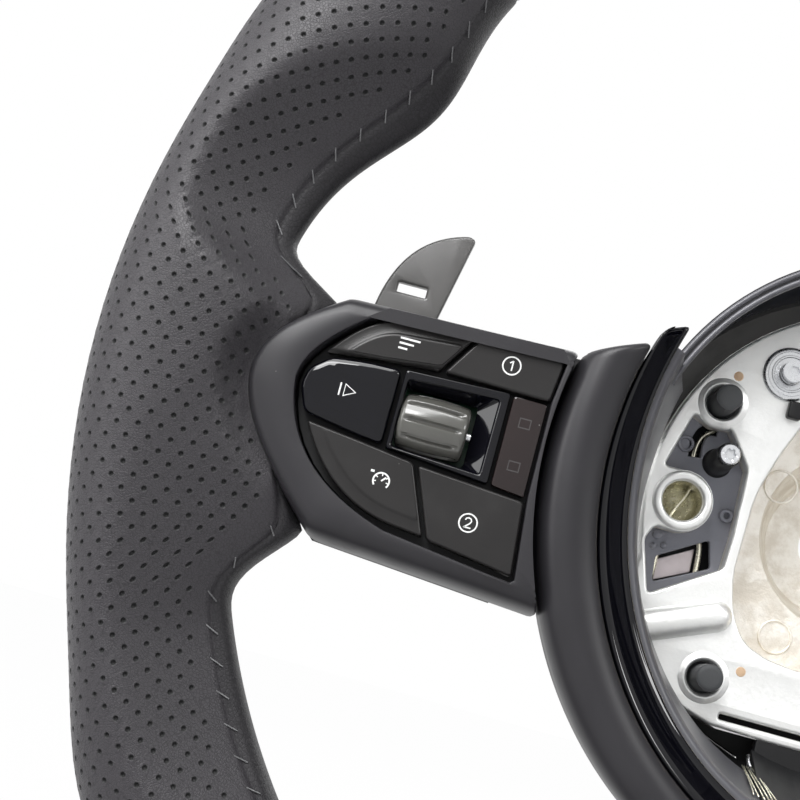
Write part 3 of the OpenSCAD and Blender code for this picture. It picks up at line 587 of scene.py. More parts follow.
def rim_surface(th, phi, inset=0.0):
    """Points of the grip's skin; phi is 0 outwards and 90 towards the driver."""
    th, phi = np.broadcast_arrays(np.asarray(th, float), np.asarray(phi, float))
    a = left_angle(th)
    c, s = np.cos(np.radians(phi)), np.sin(np.radians(phi))
    outer = GRIP_R + 3 * hump(152, 8, a) + 4.6 * hump(214, 8, a)
    spoke_flare = ramp(169, 174.5, a) ** 2 * (1 - ramp(195, 203, a)) ** 2
    inner = GRIP_R - 0.6 + 10.7 * hump(152.8, 9.4, a) + 17 * spoke_flare + 12 * ramp(253, 260, a) ** 2
    u = c * (np.where(c > 0, outer, inner) - inset)
    v = s * (GRIP_R - inset)
    tilt = np.radians(press_tilt(a))
    e = u * np.cos(tilt) + v * np.sin(tilt) - press_depth(a) + inset
    push = (e + np.sqrt(e * e + CREASE * CREASE)) / 2
    r = RING_R + u - push * np.cos(tilt)
    t = np.radians(th)
    return np.stack([r * np.cos(t), -(v - push * np.sin(tilt)), r * np.sin(t)], -1)


def bend_line(p, c, q, n):
    t = np.linspace(0, 1, n + 1)[:, None]
    p, c, q = (np.array(v, float) for v in (p, c, q))
    return (1 - t) ** 2 * p + 2 * t * (1 - t) * c + t * t * q


def spoke_outline(ends, sides):
    """The side spoke's cover seen from the driver; x runs from the rim's ring towards the hub."""
    return np.vstack([bend_line((36, 16 - sides), (18.4 + ends, 5), (18.4 + ends, -5), 24),
                      bend_line((18.4 + ends, -5), (18.4 + ends, -17), (40.5, -37 + sides), 24)[1:],
                      [(SPOKE_IN, -41 + sides), (SPOKE_IN, 17.5 - sides)]])


def lower_end(ends, sides, n):
    """The rim end of the lower spoke's cover, with n steps in each corner."""
    w, z = LOWER_HALF - sides, LOWER_END - RING_R + ends
    return np.vstack([bend_line((-w, z + 8), (-w + 4, z), (-w + 14, z), n),
                      bend_line((w - 14, z), (w - 4, z), (w, z + 8), n)])


def distance_to(outline, points):
    """Signed distance from points to a closed outline, negative inside."""
    p = points[:, None, :]
    a = outline[None, :, :]
    b = np.roll(outline, -1, axis=0)[None, :, :]
    ab = b - a
    t = np.clip(((p - a) * ab).sum(-1) / np.maximum((ab * ab).sum(-1), 1e-12), 0, 1)
    gap = np.linalg.norm(p - a - t[..., None] * ab, axis=-1).min(1)
    rise = np.where(ab[..., 1] == 0, 1e-12, ab[..., 1])
    crosses = (a[..., 1] > p[..., 1]) != (b[..., 1] > p[..., 1])
    crosses &= p[..., 0] < ab[..., 0] * (p[..., 1] - a[..., 1]) / rise + a[..., 0]
    return np.where(crosses.sum(1) % 2 == 1, -gap, gap)


def notch_distance(points):
    """How far a point stands from the nearest spoke cover, seen from the driver."""
    flat = points.reshape(-1, 3)
    side = np.stack([RING_R - np.abs(flat[:, 0]), flat[:, 2]], -1)
    near = distance_to(spoke_outline(0, 0), side)
    lower = np.vstack([lower_end(0, 0, 10), [(LOWER_HALF + 5, LOWER_IN), (-LOWER_HALF - 5, LOWER_IN)]])
    low = distance_to(lower, flat[:, [0, 2]])
    return np.minimum(near, low).reshape(points.shape[:-1])


def ring_line(th):
    """Points of the rim's middle line."""
    t = np.radians(th)
    return np.stack([RING_R * np.cos(t), np.zeros_like(t), RING_R * np.sin(t)], -1)


def flattened(points, gap, rest_depths, width):
    """Lowers a surface to its front and rear depth where it comes within a width of a spoke cover."""
    y = points[..., 1]
    rest = np.where(y < 0, *rest_depths)
    high = np.where(y < 0, np.minimum(y - rest, 0), np.maximum(y - rest, 0))
    points[..., 1] = y - high * (1 - ramp(0.0, width, gap))


def tucked(points, th):
    """Leather sinks towards each spoke cover and dives under its edge."""
    gap = notch_distance(points)
    out = points.copy()
    flattened(out, gap, LEATHER_REST, TUCK_WIDTH)
    way = ring_line(np.broadcast_to(th, gap.shape)) - out
    way /= np.maximum(np.linalg.norm(way, axis=-1, keepdims=True), 1e-6)
    dive = DIVE * ramp(DIVE_FROM, DIVE_FULL, gap)
    return out + way * dive[..., None], gap


class Skin:
    """The rim's finished surface between two clock angles, read by angle and distance round the section."""

    def __init__(self, th_from, th_to, phi_from, phi_to, step=0.25):
        self.th = np.arange(th_from, th_to + step / 2, step)
        phi = np.linspace(phi_from, phi_to, SECTION_STEPS + 1)
        raw = rim_surface(self.th[:, None], phi[None, :])
        length = np.linalg.norm(np.diff(raw, axis=1), axis=-1)
        walk = np.concatenate([np.zeros((len(self.th), 1)), np.cumsum(length, 1)], 1)
        self.total = walk[:, -1]
        self.zero = np.array([np.interp(0.0, phi, w) for w in walk])
        share = np.linspace(0, 1, SHARE_STEPS + 1)
        even = np.array([rim_surface(th, np.interp(share * w[-1], w, phi)) for th, w in zip(self.th, walk)])
        self.grid, self.gap = tucked(even, self.th[:, None])
        normal = np.cross(np.gradient(self.grid, axis=0), np.gradient(self.grid, axis=1))
        normal /= np.maximum(np.linalg.norm(normal, axis=-1, keepdims=True), 1e-9)
        outward = ((self.grid - ring_line(self.th[:, None])) * normal).sum(-1)
        self.normal = normal * np.where(outward.mean() < 0, -1.0, 1.0)

    def read(self, what, th, share):
        """Bilinear reading of a grid at angles and shares of the section."""
        i = np.clip((th - self.th[0]) / (self.th[1] - self.th[0]), 0, len(self.th) - 1.001)
        j = np.clip(share * SHARE_STEPS, 0, SHARE_STEPS - 0.001)
        i0, j0 = i.astype(int), j.astype(int)
        fi, fj = i - i0, j - j0
        if what.ndim == 3:
            fi, fj = fi[..., None], fj[..., None]
        return ((what[i0, j0] * (1 - fi) + what[i0 + 1, j0] * fi) * (1 - fj)
                + (what[i0, j0 + 1] * (1 - fi) + what[i0 + 1, j0 + 1] * fi) * fj)

    def along(self, line, th):
        return np.interp(th, self.th, line)


print("rim section at 9 o'clock, outer radius", round(float(rim_surface(180, 0)[0] * -1), 1), "mm")

# %% [markdown]
# ## Perforated leather
# The side panels are leather punched with small holes on a diagonal lattice. A bump map would look painted at
# this distance, so the holes are real: the skin is a grid of diamonds, one round each hole, and every hole has a
# soft lip, and its deeper wall and bottom are painted dark as shade. Towards a seam the leather turns down into
# the groove.

# %% Perforated leather
SIDE_FROM, SIDE_TO = 140.0, 222.5
MM_PER_DEGREE = math.radians(RING_R)
ROW_STEP = 0.92
COLUMN_STEP = 2.4
SEAM_MARGIN = 2.4
SEAM_STEPS = (2.0, 1.2, 0.6, 0.25, 0.0)
SEAM_DEPTH = 0.45
HOLE_RINGS = ((0.86, 0.0), (0.68, -0.02), (0.53, 0.14), (0.44, 0.55))
HOLE_BOTTOM = 0.62
HOLE_SIDES = 8
HOLE_CLEAR, HIDDEN = 1.4, -3.0
SKIN_WELD = 0.002
# Painted shade: the holes' deeper walls and bottoms take this near-black finish.
painted_hole_shade = plastic("painted_hole_shade", (0.006, 0.006, 0.007), 0.8, dust=0.0)


def sheet_places(skin, th_from, th_to, th_inner, inner_columns):
    """Angles and distances round the section, with close rows and columns along the seams."""
    ends = np.array(SEAM_STEPS) / MM_PER_DEGREE
    th = np.concatenate([th_from + ends[::-1], th_inner, th_to - ends])
    total, zero = skin.along(skin.total, th), skin.along(skin.zero, th)
    seams = np.array(SEAM_STEPS)
    columns = [np.full(len(th), d) - zero for d in seams[::-1]]
    columns += [np.clip(c, SEAM_MARGIN - zero, total - zero - SEAM_MARGIN) for c in inner_columns(total, zero)]
    columns += [total - zero - d for d in seams]
    s = np.stack(columns, 1)
    edge = np.minimum(s + zero[:, None], total[:, None] - zero[:, None] - s)
    edge = np.minimum(edge, np.minimum(th - th_from, th_to - th)[:, None] * MM_PER_DEGREE)
    return th, s, SEAM_DEPTH * (1 - ramp(0.0, 1.4, edge)), zero, total


def on_skin(skin, th, s, zero, total, sink):
    share = (s + zero) / total
    place = skin.read(skin.grid, th, share)
    out = skin.read(skin.normal, th, share)
    return place - out * sink[..., None], skin.read(skin.gap, th, share)


def grid_quads(index):
    return np.stack([index[:-1, :-1], index[1:, :-1], index[1:, 1:], index[:-1, 1:]], -1)


def punched_sheet():
    """Points, faces and finish numbers of the left panel; number 1 is the painted shade in the holes."""
    skin = Skin(SIDE_FROM, SIDE_TO, -SEAM, SEAM)
    margin = SEAM_MARGIN / MM_PER_DEGREE
    rows = int((SIDE_TO - SIDE_FROM - 2 * margin) / ROW_STEP)
    inner = np.linspace(SIDE_FROM + margin, SIDE_TO - margin, rows + 1)
    reach = int(math.ceil(max((skin.total - skin.zero).max(), skin.zero.max()) / COLUMN_STEP))
    numbers = np.arange(-reach, reach + 1)
    th, s, sink, zero, total = sheet_places(skin, SIDE_FROM, SIDE_TO, inner,
                                            lambda total, zero: [np.full(len(zero), m * COLUMN_STEP) for m in numbers])
    grid_th = np.broadcast_to(th[:, None], s.shape)
    points, gap = on_skin(skin, grid_th, s, zero[:, None], total[:, None], sink)
    height, width = s.shape
    index = np.arange(height * width).reshape(height, width)
    edge = len(SEAM_STEPS)
    k = np.arange(height)[:, None] - edge
    m = np.arange(width)[None, :] - edge - reach
    in_lattice = (k >= 0) & (k <= rows) & (np.abs(m) <= reach)
    even = in_lattice & ((k + m) % 2 == 0)
    low, high = (zero - SEAM_MARGIN)[:, None], (total - zero - SEAM_MARGIN)[:, None]
    wide = ((m - 1) * COLUMN_STEP > -low + 0.2) & ((m + 1) * COLUMN_STEP < high - 0.2)
    whole = wide.copy()
    whole[1:] &= wide[:-1]
    whole[:-1] &= wide[1:]
    holes = even & whole & (k >= 1) & (k <= rows - 1) & (np.abs(m) < reach) & (gap > HOLE_CLEAR)
    faces, shades = [], []

    def add(block, shade_number=0):
        faces.extend(block.tolist())
        shades.extend([shade_number] * len(block))

    add(grid_quads(index)[~(in_lattice[:-1, :-1] & in_lattice[1:, 1:])])
    steps = ((1, 0), (0, 1), (-1, 0), (0, -1))

    def beside(step, which):
        i, j = np.nonzero(which)
        a, b = i + step[0], j + step[1]
        inside = (a >= edge) & (a <= edge + rows) & (b >= edge) & (b <= edge + 2 * reach)
        return index[np.clip(a, 0, height - 1), np.clip(b, 0, width - 1)], inside

    plain = even & ~holes
    middle = index[plain]
    for q in range(4):
        a, a_in = beside(steps[q], plain)
        b, b_in = beside(steps[(q + 1) % 4], plain)
        add(np.stack([middle, a, b], -1)[a_in & b_in])
    centre_th, centre_s, flat = grid_th[holes], s[holes], points[holes]
    centre_zero, centre_total = (np.broadcast_to(line[:, None], s.shape)[holes][:, None] for line in (zero, total))
    radius = np.hypot(flat[:, 0], flat[:, 2])
    around = np.radians(np.arange(HOLE_SIDES) * 360.0 / HOLE_SIDES)
    rings, gaps = [], []
    for size, depth in HOLE_RINGS + ((0.0, HOLE_BOTTOM),):
        count = HOLE_SIDES if size else 1
        t = centre_th[:, None] + np.degrees(size * np.cos(around[:count])[None, :] / radius[:, None])
        r = centre_s[:, None] + size * np.sin(around[:count])[None, :]
        p, g = on_skin(skin, t, r, centre_zero, centre_total, np.full(t.shape, depth))
        rings.append(p)
        gaps.append(g)
    base = height * width
    starts = []
    for ring in rings:
        starts.append(base + np.arange(ring.shape[0] * ring.shape[1]).reshape(ring.shape[:2]))
        base += starts[-1].size
    first = starts[0]
    for q in range(4):
        a, _ = beside(steps[q], holes)
        b, _ = beside(steps[(q + 1) % 4], holes)
        r0, r45, r90 = first[:, 2 * q], first[:, 2 * q + 1], first[:, (2 * q + 2) % HOLE_SIDES]
        for triangle in ((a, b, r45), (r0, a, r45), (r45, b, r90)):
            add(np.stack(triangle, -1))
    # From the second ring down, the walls and the bottom of each hole take the painted shade.
    for i, (o, n) in enumerate(zip(starts[:-2], starts[1:-1])):
        for j in range(HOLE_SIDES):
            after = (j + 1) % HOLE_SIDES
            add(np.stack([o[:, j], o[:, after], n[:, after], n[:, j]], -1), int(i > 0))
    last, bottom = starts[-2], starts[-1][:, 0]
    for j in range(HOLE_SIDES):
        add(np.stack([last[:, j], last[:, (j + 1) % HOLE_SIDES], bottom], -1), 1)
    everything = np.concatenate([points.reshape(-1, 3)] + [r.reshape(-1, 3) for r in rings])
    near = np.concatenate([gap.ravel()] + [g.ravel() for g in gaps])
    shown = [i for i, face in enumerate(faces) if max(near[face]) > HIDDEN]
    return everything, [faces[i] for i in shown], [shades[i] for i in shown], int(holes.sum())


points, faces, shades, count = punched_sheet()
side_pieces("perforated_skin", (points, faces), (perforated_leather, painted_hole_shade), "perforated_leather", "leather",
            sharp=0, numbers=shades, weld=SKIN_WELD)
print("holes a side", count, "faces", len(faces))

# %% [markdown]
# ## Smooth leather, seams and lacing
# The strip inside the rim and the top and bottom panels are smooth leather. All panels meet in narrow grooves.
# A thread laces the inner seams, and its short slanted runs show as fine glints, so they are modelled; the
# thread is painted a light grey as highlight for those glints. The foam core lies under all of it and is
# flattened, as the leather is, where the spoke covers begin.

# %% Smooth leather and lacing
COLUMN_WIDTH = 1.7
LACE_PITCH, LACE_LEAN, LACE_R, LACE_CLEAR = 2.6, 0.42, 0.17, 4
CORE_INSET, CORE_THIN, CORE_GROW = 2.3, 14, 34
CORE_REST, CORE_TUCK = (-6.8, 8.0), 9.0


def smooth_sheet(th_from, th_to, phi_from, phi_to, row=0.6):
    skin = Skin(th_from, th_to, phi_from, phi_to)
    margin = SEAM_MARGIN / MM_PER_DEGREE
    inner = np.linspace(th_from + margin, th_to - margin, int((th_to - th_from) / row))
    count = int(skin.total.mean() / COLUMN_WIDTH)
    shares = np.linspace(0, 1, count)

    def columns(total, zero):
        return [SEAM_MARGIN + share * (total - 2 * SEAM_MARGIN) - zero for share in shares]

    th, s, sink, zero, total = sheet_places(skin, th_from, th_to, inner, columns)
    points, gap = on_skin(skin, np.broadcast_to(th[:, None], s.shape), s, zero[:, None], total[:, None], sink)
    quads = grid_quads(np.arange(s.size).reshape(s.shape)).reshape(-1, 4)
    near = gap.ravel()
    return points.reshape(-1, 3), [q for q in quads.tolist() if max(near[q]) > HIDDEN]


def tube(path, radius, sides=6):
    """A thin round thread or wire along a list of points."""
    path = np.array(path, float)
    way = np.gradient(path, axis=0)
    way /= np.linalg.norm(way, axis=1, keepdims=True)
    side = np.cross(way, np.array([0.31, 0.85, 0.42]))
    side /= np.linalg.norm(side, axis=1, keepdims=True)
    over = np.cross(way, side)
    angle = 2 * math.pi * np.arange(sides) / sides
    rings = path[:, None] + radius * (np.cos(angle)[None, :, None] * side[:, None]
                                      + np.sin(angle)[None, :, None] * over[:, None])
    return solid(list(rings))


def lacing(th_from, th_to):
    """Slanted thread runs over both inner seams between two clock angles."""
    outer = Skin(th_from, th_to, -SEAM, SEAM)
    inner = Skin(th_from, th_to, SEAM, 360 - SEAM)
    runs = []
    for th in np.arange(th_from + 1.2, th_to - 1.2, LACE_PITCH):
        for near_end in (False, True):
            t, u = np.array([th - LACE_LEAN]), np.array([th + LACE_LEAN])
            outer_share = 1.5 / outer.along(outer.total, t)
            inner_share = 0.9 / inner.along(inner.total, u)
            if near_end:
                inner_share = 1 - inner_share
            else:
                outer_share = 1 - outer_share
            if outer.read(outer.gap, t, outer_share)[0] < LACE_CLEAR:
                continue
            p = outer.read(outer.grid, t, outer_share)[0]
            q = inner.read(inner.grid, u, inner_share)[0]
            out = outer.read(outer.normal, t, outer_share)[0]
            runs.append(tube([p - out * 0.45, p - out * 0.02, (p + q) / 2 - out * 0.05, q - out * 0.02,
                              q - out * 0.45], LACE_R))
    return joined(runs)


def foam_core():
    """The rim's foam, flattened and kept thin near the spoke covers."""
    th, phi = np.arange(0, 360, 1.25)[:, None], np.arange(0, 360, 7.5)[None, :]
    core = rim_surface(th, phi, CORE_INSET)
    gap = notch_distance(core)
    flattened(core, gap, CORE_REST, CORE_TUCK)
    middle = ring_line(th)
    reach = np.linalg.norm(core - middle, axis=-1)
    most = CORE_THIN + CORE_GROW * ramp(0.0, 6.0, gap)
    return loft(list(middle + (core - middle) * (np.minimum(reach, most) / reach)[..., None]), wrap=True)


strip = smooth_sheet(SIDE_FROM, SIDE_TO, SEAM, 360 - SEAM)
stitches = lacing(SIDE_FROM, SIDE_TO)
side_pieces("inner_strip", strip, smooth_leather, "perforated_leather", sharp=0, weld=SKIN_WELD)
side_pieces("lacing", stitches, thread, "perforated_leather")
mesh_piece("foam_core", *foam_core(), foam, slot="foam", stands_for=("rim_foam",), sharp=0)
for name, th_from, th_to in (("top", 180 - SIDE_FROM, SIDE_FROM), ("bottom", SIDE_TO, 540 - SIDE_TO)):
    around = joined([smooth_sheet(th_from, th_to, -SEAM, SEAM), smooth_sheet(th_from, th_to, SEAM, 360 - SEAM)])
    mesh_piece(f"smooth_skin_{name}", *around, smooth_leather, slot="smooth_leather", stands_for=(f"leather_{name}",),
               sharp=0, weld=SKIN_WELD)
    mesh_piece(f"lacing_{name}", *lacing(th_from, th_to), thread, slot="smooth_leather")
print("lacing points a side", len(stitches[0]))

# %% [markdown]
# ## Drawing outlines
# Covers, keys and trim are flat outlines with rounded edges. An outline is a short list of corners; helpers round
# the corners, shift the whole line inwards, and make rings of several outlines that match point for point, so
# that they can be lofted. A bevel modifier would do it too, but rings let every edge have its own profile.

# %% Outline helpers
GAP = 0.4
NEARLY_STRAIGHT, MOST_CUT = 0.26, 0.45
WELD = 0.01


def turned_left(points):
    """The outline in anticlockwise order."""
    p = np.asarray(points, float)
    q = np.roll(p, -1, axis=0)
    area = (p[:, 0] * q[:, 1] - q[:, 0] * p[:, 1]).sum()
    return p if area > 0 else p[::-1]


def rounded(points, radius, n=5):
    """Cuts each corner back by up to the radius and bends a curve through it."""
    p = turned_left(points)
    out = []
    for i, corner in enumerate(p):
        before, after = p[i - 1], p[(i + 1) % len(p)]
        a, b = before - corner, after - corner
        la, lb = np.linalg.norm(a), np.linalg.norm(b)
        turn_sin = abs(a[0] * b[1] - a[1] * b[0]) / (la * lb)
        if turn_sin < NEARLY_STRAIGHT and a @ b < 0:
            out.append(corner[None])
            continue
        cut = min(radius, la * MOST_CUT, lb * MOST_CUT)
        out.append(bend_line(corner + a / la * cut, corner, corner + b / lb * cut, n))
    return np.vstack(out)


def dense(points, step=0.9):
    """More points along long straight stretches."""
    out = []
    for a, b in zip(points, np.roll(points, -1, axis=0)):
        n = max(1, int(np.linalg.norm(b - a) / step))
        out += [a + (b - a) * i / n for i in range(n)]
    return np.array(out)


def shifted(points, inset):
    """The outline moved inwards; the inset is one number or one for each point."""
    p = np.asarray(points, float)
    a = p - np.roll(p, 1, axis=0)
    b = np.roll(p, -1, axis=0) - p
    a /= np.maximum(np.linalg.norm(a, axis=1, keepdims=True), 1e-9)
    b /= np.maximum(np.linalg.norm(b, axis=1, keepdims=True), 1e-9)
    na, nb = np.stack([-a[:, 1], a[:, 0]], -1), np.stack([-b[:, 1], b[:, 0]], -1)
    share = np.maximum(1 + (na * nb).sum(1), 0.4)
    return p + (na + nb) / share[:, None] * np.broadcast_to(inset, len(p))[:, None]


def inset_convex(points, inset):
    """A convex outline moved inwards, edge by edge, however short its edges are."""
    p = turned_left(points)
    ends = np.roll(p, -1, axis=0)
    distance = np.broadcast_to(inset, len(p))
    out = p.copy()
    for a, b, d in zip(p, ends, distance):
        way = (b - a) / max(np.linalg.norm(b - a), 1e-9)
        inward = np.array([-way[1], way[0]])
        height = (out - a) @ inward - d
        kept = []
        for i in range(len(out)):
            j = (i + 1) % len(out)
            if height[i] >= 0:
                kept.append(out[i])
            if height[i] * height[j] < 0:
                share = height[i] / (height[i] - height[j])
                kept.append(out[i] + (out[j] - out[i]) * share)
        out = np.array(kept)
    return out


def radial_rings(outlines, centre):
    """The outlines re-read along the same rays from a centre, so that they match point for point."""
    centre = np.asarray(centre, float)
    angles = [np.arctan2(*(np.asarray(o) - centre).T[::-1]) for o in outlines]
    rays = np.unique(np.round(np.concatenate(angles), 4))
    d = np.stack([np.cos(rays), np.sin(rays)], -1)
    rings = []
    for outline in outlines:
        p = np.asarray(outline, float) - centre
        e = np.roll(p, -1, axis=0) - p
        cross = d[:, None, 0] * e[None, :, 1] - d[:, None, 1] * e[None, :, 0]
        cross = np.where(np.abs(cross) < 1e-9, 1e-9, cross)
        reach = (p[None, :, 0] * e[None, :, 1] - p[None, :, 1] * e[None, :, 0]) / cross
        along = (p[None, :, 0] * d[:, None, 1] - p[None, :, 1] * d[:, None, 0]) / cross
        good = (along >= -1e-6) & (along <= 1 + 1e-6) & (reach > 0)
        reach = np.where(good, reach, np.inf).min(1)
        rings.append(d * reach[:, None] + centre)
    return rings


def at_depth(outline, depth, from_rim=True):
    """An outline at a depth; spoke outlines count their x from the rim's ring."""
    o = np.asarray(outline, float)
    x = o[:, 0] - RING_R if from_rim else o[:, 0]
    return np.stack([x, np.broadcast_to(depth, len(o)), o[:, 1]], -1)


def smoothed(points, times=2, closed=False):
    """Corner cutting, which turns a coarse profile into a soft one."""
    p = np.asarray(points, float)
    for _ in range(times):
        q = np.roll(p, -1, axis=0) if closed else p[1:]
        base = p if closed else p[:-1]
        cut = np.stack([0.75 * base + 0.25 * q, 0.25 * base + 0.75 * q], 1).reshape(-1, p.shape[1])
        p = cut if closed else np.vstack([p[:1], cut, p[-1:]])
    return p


def stacked(rings, depths, from_rim=True):
    return [at_depth(ring, y, from_rim) for ring, y in zip(rings, depths)]


def circle_points(x, z, r, n=40):
    angle = 2 * math.pi * np.arange(n) / n
    return np.stack([x + r * np.cos(angle), z + r * np.sin(angle)], -1)


def stem(x, z, front, back, radius):
    return solid(stacked([circle_points(x, z, radius, 16)] * 2, (front, back)))


print("outline helpers ready")

# %% [markdown]
# ## Spoke covers
# The cover is a soft-touch moulding whose long sides roll over to the rear. Its front has a closed recess with a
# crisp lip, in which the keys sit, and its hub end follows the trim band with an even gap.

# %% Spoke covers
MATTE_EDGE = (82.3, 86.0, -4.0)
SPLIT_EDGE = (68.8, 77.6, -2.0)
GLOSS_EDGE = (62.1, 74.3, 2.0)
COVER_PROFILE = ((0, 0, 5), (0, 0, -3), (0.06, 0.2, -5.4), (0.2, 0.6, -8), (0.5, 1.15, -9.6), (0.95, 2.0, -10.9),
                 (1.6, 3.1, -11.6), (2.5, 4.5, -12.0))
RECESS_LIP = ((-0.5, -12.0), (-0.14, -11.92), (0.0, -11.6), (0.0, -5.2))
SPOKE_MIDDLE = (60.0, -9.0)


def hub_edge(z_from, z_to):
    z = np.linspace(z_from, z_to, 26)
    x = RING_R - (MATTE_EDGE[0] + GAP) * np.sqrt(1 - ((z - MATTE_EDGE[2]) / (MATTE_EDGE[1] + GAP)) ** 2)
    return np.stack([x, z], -1)


def cover_outline(ends, sides):
    rim_end = spoke_outline(ends, sides)[:-2]
    line = turned_left(np.vstack([rim_end, hub_edge(-40.85 + sides, 17.3 - sides)]))
    return smoothed(dense(line, 4.0), 2, closed=True)


recess = turned_left(np.vstack([bend_line((45, 14.2), (29.2, 3.5), (29.2, -5), 16),
                                bend_line((29.2, -5), (31.5, -25), (56, -32), 20)[1:],
                                [(84.6, -35.7), (85.5, -34.9), (83.85, -17), (83.7, 3.8), (84.85, 12.9),
                                 (83.2, 15.2)]]))
outlines = [cover_outline(ends, sides) for ends, sides, _ in COVER_PROFILE]
outlines += [shifted(recess, inset) for inset, _ in RECESS_LIP]
rings = radial_rings(outlines, SPOKE_MIDDLE)
depths = [row[2] for row in COVER_PROFILE] + [row[1] for row in RECESS_LIP]
cover = loft(stacked(rings, depths))
side_pieces("spoke_frame", cover, soft_touch, "matte_trim", "spoke_cover", weld=WELD, sharp=40)
print("cover points", len(cover[0]))

# %% [markdown]
# ## Keys
# Four matte keys fill the recess round a gloss middle. Each is a plate with rolled edges on a stem. On the two
# outer keys the curved edge is a lower band, and the small slope above it catches the light as a bright line.

# %% Keys
KEY_FRONT, KEY_BACK, KEY_FOOT = -11.0, -6.9, -2.6
EDGE_ROLL = ((0.0, 3.9), (0.0, 0.75), (0.06, 0.42), (0.22, 0.16), (0.45, 0.02), (0.52, 0.0), (0.62, 0.0))
BAND_DROP, BAND_WIDTH, SLOPE_WIDTH = 0.42, 1.9, 0.75
UPPER_CURVE = bend_line((33.9, 2.2), (40.5, 12), (48, 12.9), 14)
LOWER_CURVE = bend_line((33.9, -13.2), (42, -28.5), (57, -30.4), 18)
UPPER_END, LOWER_TIP = (65, 14.2), (64.4, -31.2)
# Outline, the place of its stem, and how many of its first points lie on the side with the band
KEY_OUTLINES = {
    "upper_outer": (np.vstack([UPPER_CURVE, [UPPER_END, (58.7, 4.5), (46, 3.6)]]), (50.5, 8.6), 16),
    "upper_inner": (np.array([(66, 14.3), (82.6, 14.5), (84.4, 12.6), (83.4, 4), (59.8, 4.5)], float), (73, 9), 0),
    "lower_outer": (np.vstack([LOWER_CURVE, [LOWER_TIP, (58.4, -16.2), (46, -14.6)]]), (51.5, -21.5), 20),
    "lower_inner": (np.array([(59.5, -16.5), (65.5, -31.6), (84.8, -34.4), (83.4, -18.3)], float), (73.5, -25.5), 0),
}


def key_plate(outline, place, on_band):
    """A plate with rolled edges; a banded key's face stops short of its curved side."""
    line = rounded(outline, 1.0)
    insets = [line if inset == 0 else inset_convex(line, inset) for inset, _ in EDGE_ROLL]
    depths = [KEY_FRONT + drop for _, drop in EDGE_ROLL]
    if on_band:
        corners = turned_left(outline)
        middles = (corners + np.roll(corners, -1, axis=0)) / 2
        long_edge = dense(outline[:on_band], 0.3)[:-1]
        on_curve = np.linalg.norm(middles[:, None] - long_edge[None], axis=-1).min(1) < 0.3
        roll = EDGE_ROLL[-1][0]
        for width, drop in ((BAND_WIDTH, 1.0), (BAND_WIDTH + 0.3 * SLOPE_WIDTH, 0.8),
                            (BAND_WIDTH + 0.7 * SLOPE_WIDTH, 0.2), (BAND_WIDTH + SLOPE_WIDTH, 0.0)):
            face = inset_convex(corners, roll + 0.02 + width * on_curve)
            insets.append(rounded(face, 0.8))
            depths.append(KEY_FRONT + BAND_DROP * drop)
        insets.append(rounded(inset_convex(corners, roll + 0.32 + (BAND_WIDTH + SLOPE_WIDTH) * on_curve), 0.7))
        depths.append(KEY_FRONT)
        depths = [y + BAND_DROP * (y < KEY_BACK - 0.5 and i < len(EDGE_ROLL)) for i, y in enumerate(depths)]
    return joined([solid(stacked(radial_rings(insets, place), depths)), stem(*place, KEY_BACK, KEY_FOOT, 2.0)])


for name, shape in KEY_OUTLINES.items():
    side_pieces(f"{name}_key", key_plate(*shape), satin_keys, "satin_keys", f"key_{name}", rides=True, sharp=50)
print("keys", 2 * len(KEY_OUTLINES))

# %% [markdown]
# ## Gloss key, roller and its frame
# The middle of the pack is piano black: a crowned key, and a frame whose well slopes down to the ribbed roller. The
# roller is a barrel, so it is one surface of revolution whose radius dips along each rib's groove.

# %% Gloss key, roller and frame
RESUME = np.array([(35.4, 1.4), (31.2, -2), (30.4, -6), (32.6, -11.6), (45, -13.6), (50.8, -14.2), (50.8, 2.6),
                   (43, 2.4)])
RESUME_ROLL = ((0.0, -6.9), (0.0, -9.9), (0.08, -10.35), (0.3, -10.72), (0.7, -10.95), (1.5, -11.12), (2.8, -11.26),
               (4.2, -11.33))
RESUME_STEM = (40.8, -6)
line = smoothed(rounded(RESUME, 1.6, 6), 1, closed=True)
rings = radial_rings([inset_convex(line, inset) for inset, _ in RESUME_ROLL], RESUME_STEM)
plate = joined([solid(stacked(rings, [y for _, y in RESUME_ROLL])), stem(*RESUME_STEM, KEY_BACK, KEY_FOOT, 2.0)])
side_pieces("resume_key", plate, gloss_trim, "gloss_trim", "key_resume", rides=True)

ROLLER_X, ROLLER_Y, ROLLER_Z = 60.4, -6.0, -7.4
ROLLER_R, ROLLER_HALF, AXLE_R = 6.5, 7.5, 1.05
RIBS, GROOVE_DEPTH = 10, 0.75


def roller_surface():
    """Rings along the axle; a groove lies between each two ribs and runs out before the ends."""
    angle = np.linspace(0, 2 * math.pi, 200, endpoint=False)
    turned = angle + math.pi / RIBS
    phase = np.abs((angle * RIBS / (2 * math.pi)) % 1 - 0.5)
    groove = ramp(0.17, 0.05, phase)
    stations = [(-ROLLER_HALF, AXLE_R), (-ROLLER_HALF, ROLLER_R - 1.5)]
    for share in np.linspace(-1, 1, 27):
        barrel = ROLLER_R - 0.55 * share ** 2 - 0.9 * ramp(0.88, 1.0, abs(share)) ** 2
        stations.append((share * ROLLER_HALF, barrel))
    stations += [(ROLLER_HALF, ROLLER_R - 1.5), (ROLLER_HALF, AXLE_R)]
    rings = []
    for x, r in stations:
        fade = 1 - ramp(ROLLER_HALF - 2.2, ROLLER_HALF - 1.1, abs(x))
        radius = r - GROOVE_DEPTH * groove * fade * (r > ROLLER_R - 1.6)
        rings.append(np.stack([np.full(len(angle), x + ROLLER_X - RING_R), ROLLER_Y - radius * np.cos(turned),
                               ROLLER_Z + radius * np.sin(turned)], -1))
    return loft(rings, wrap=True)


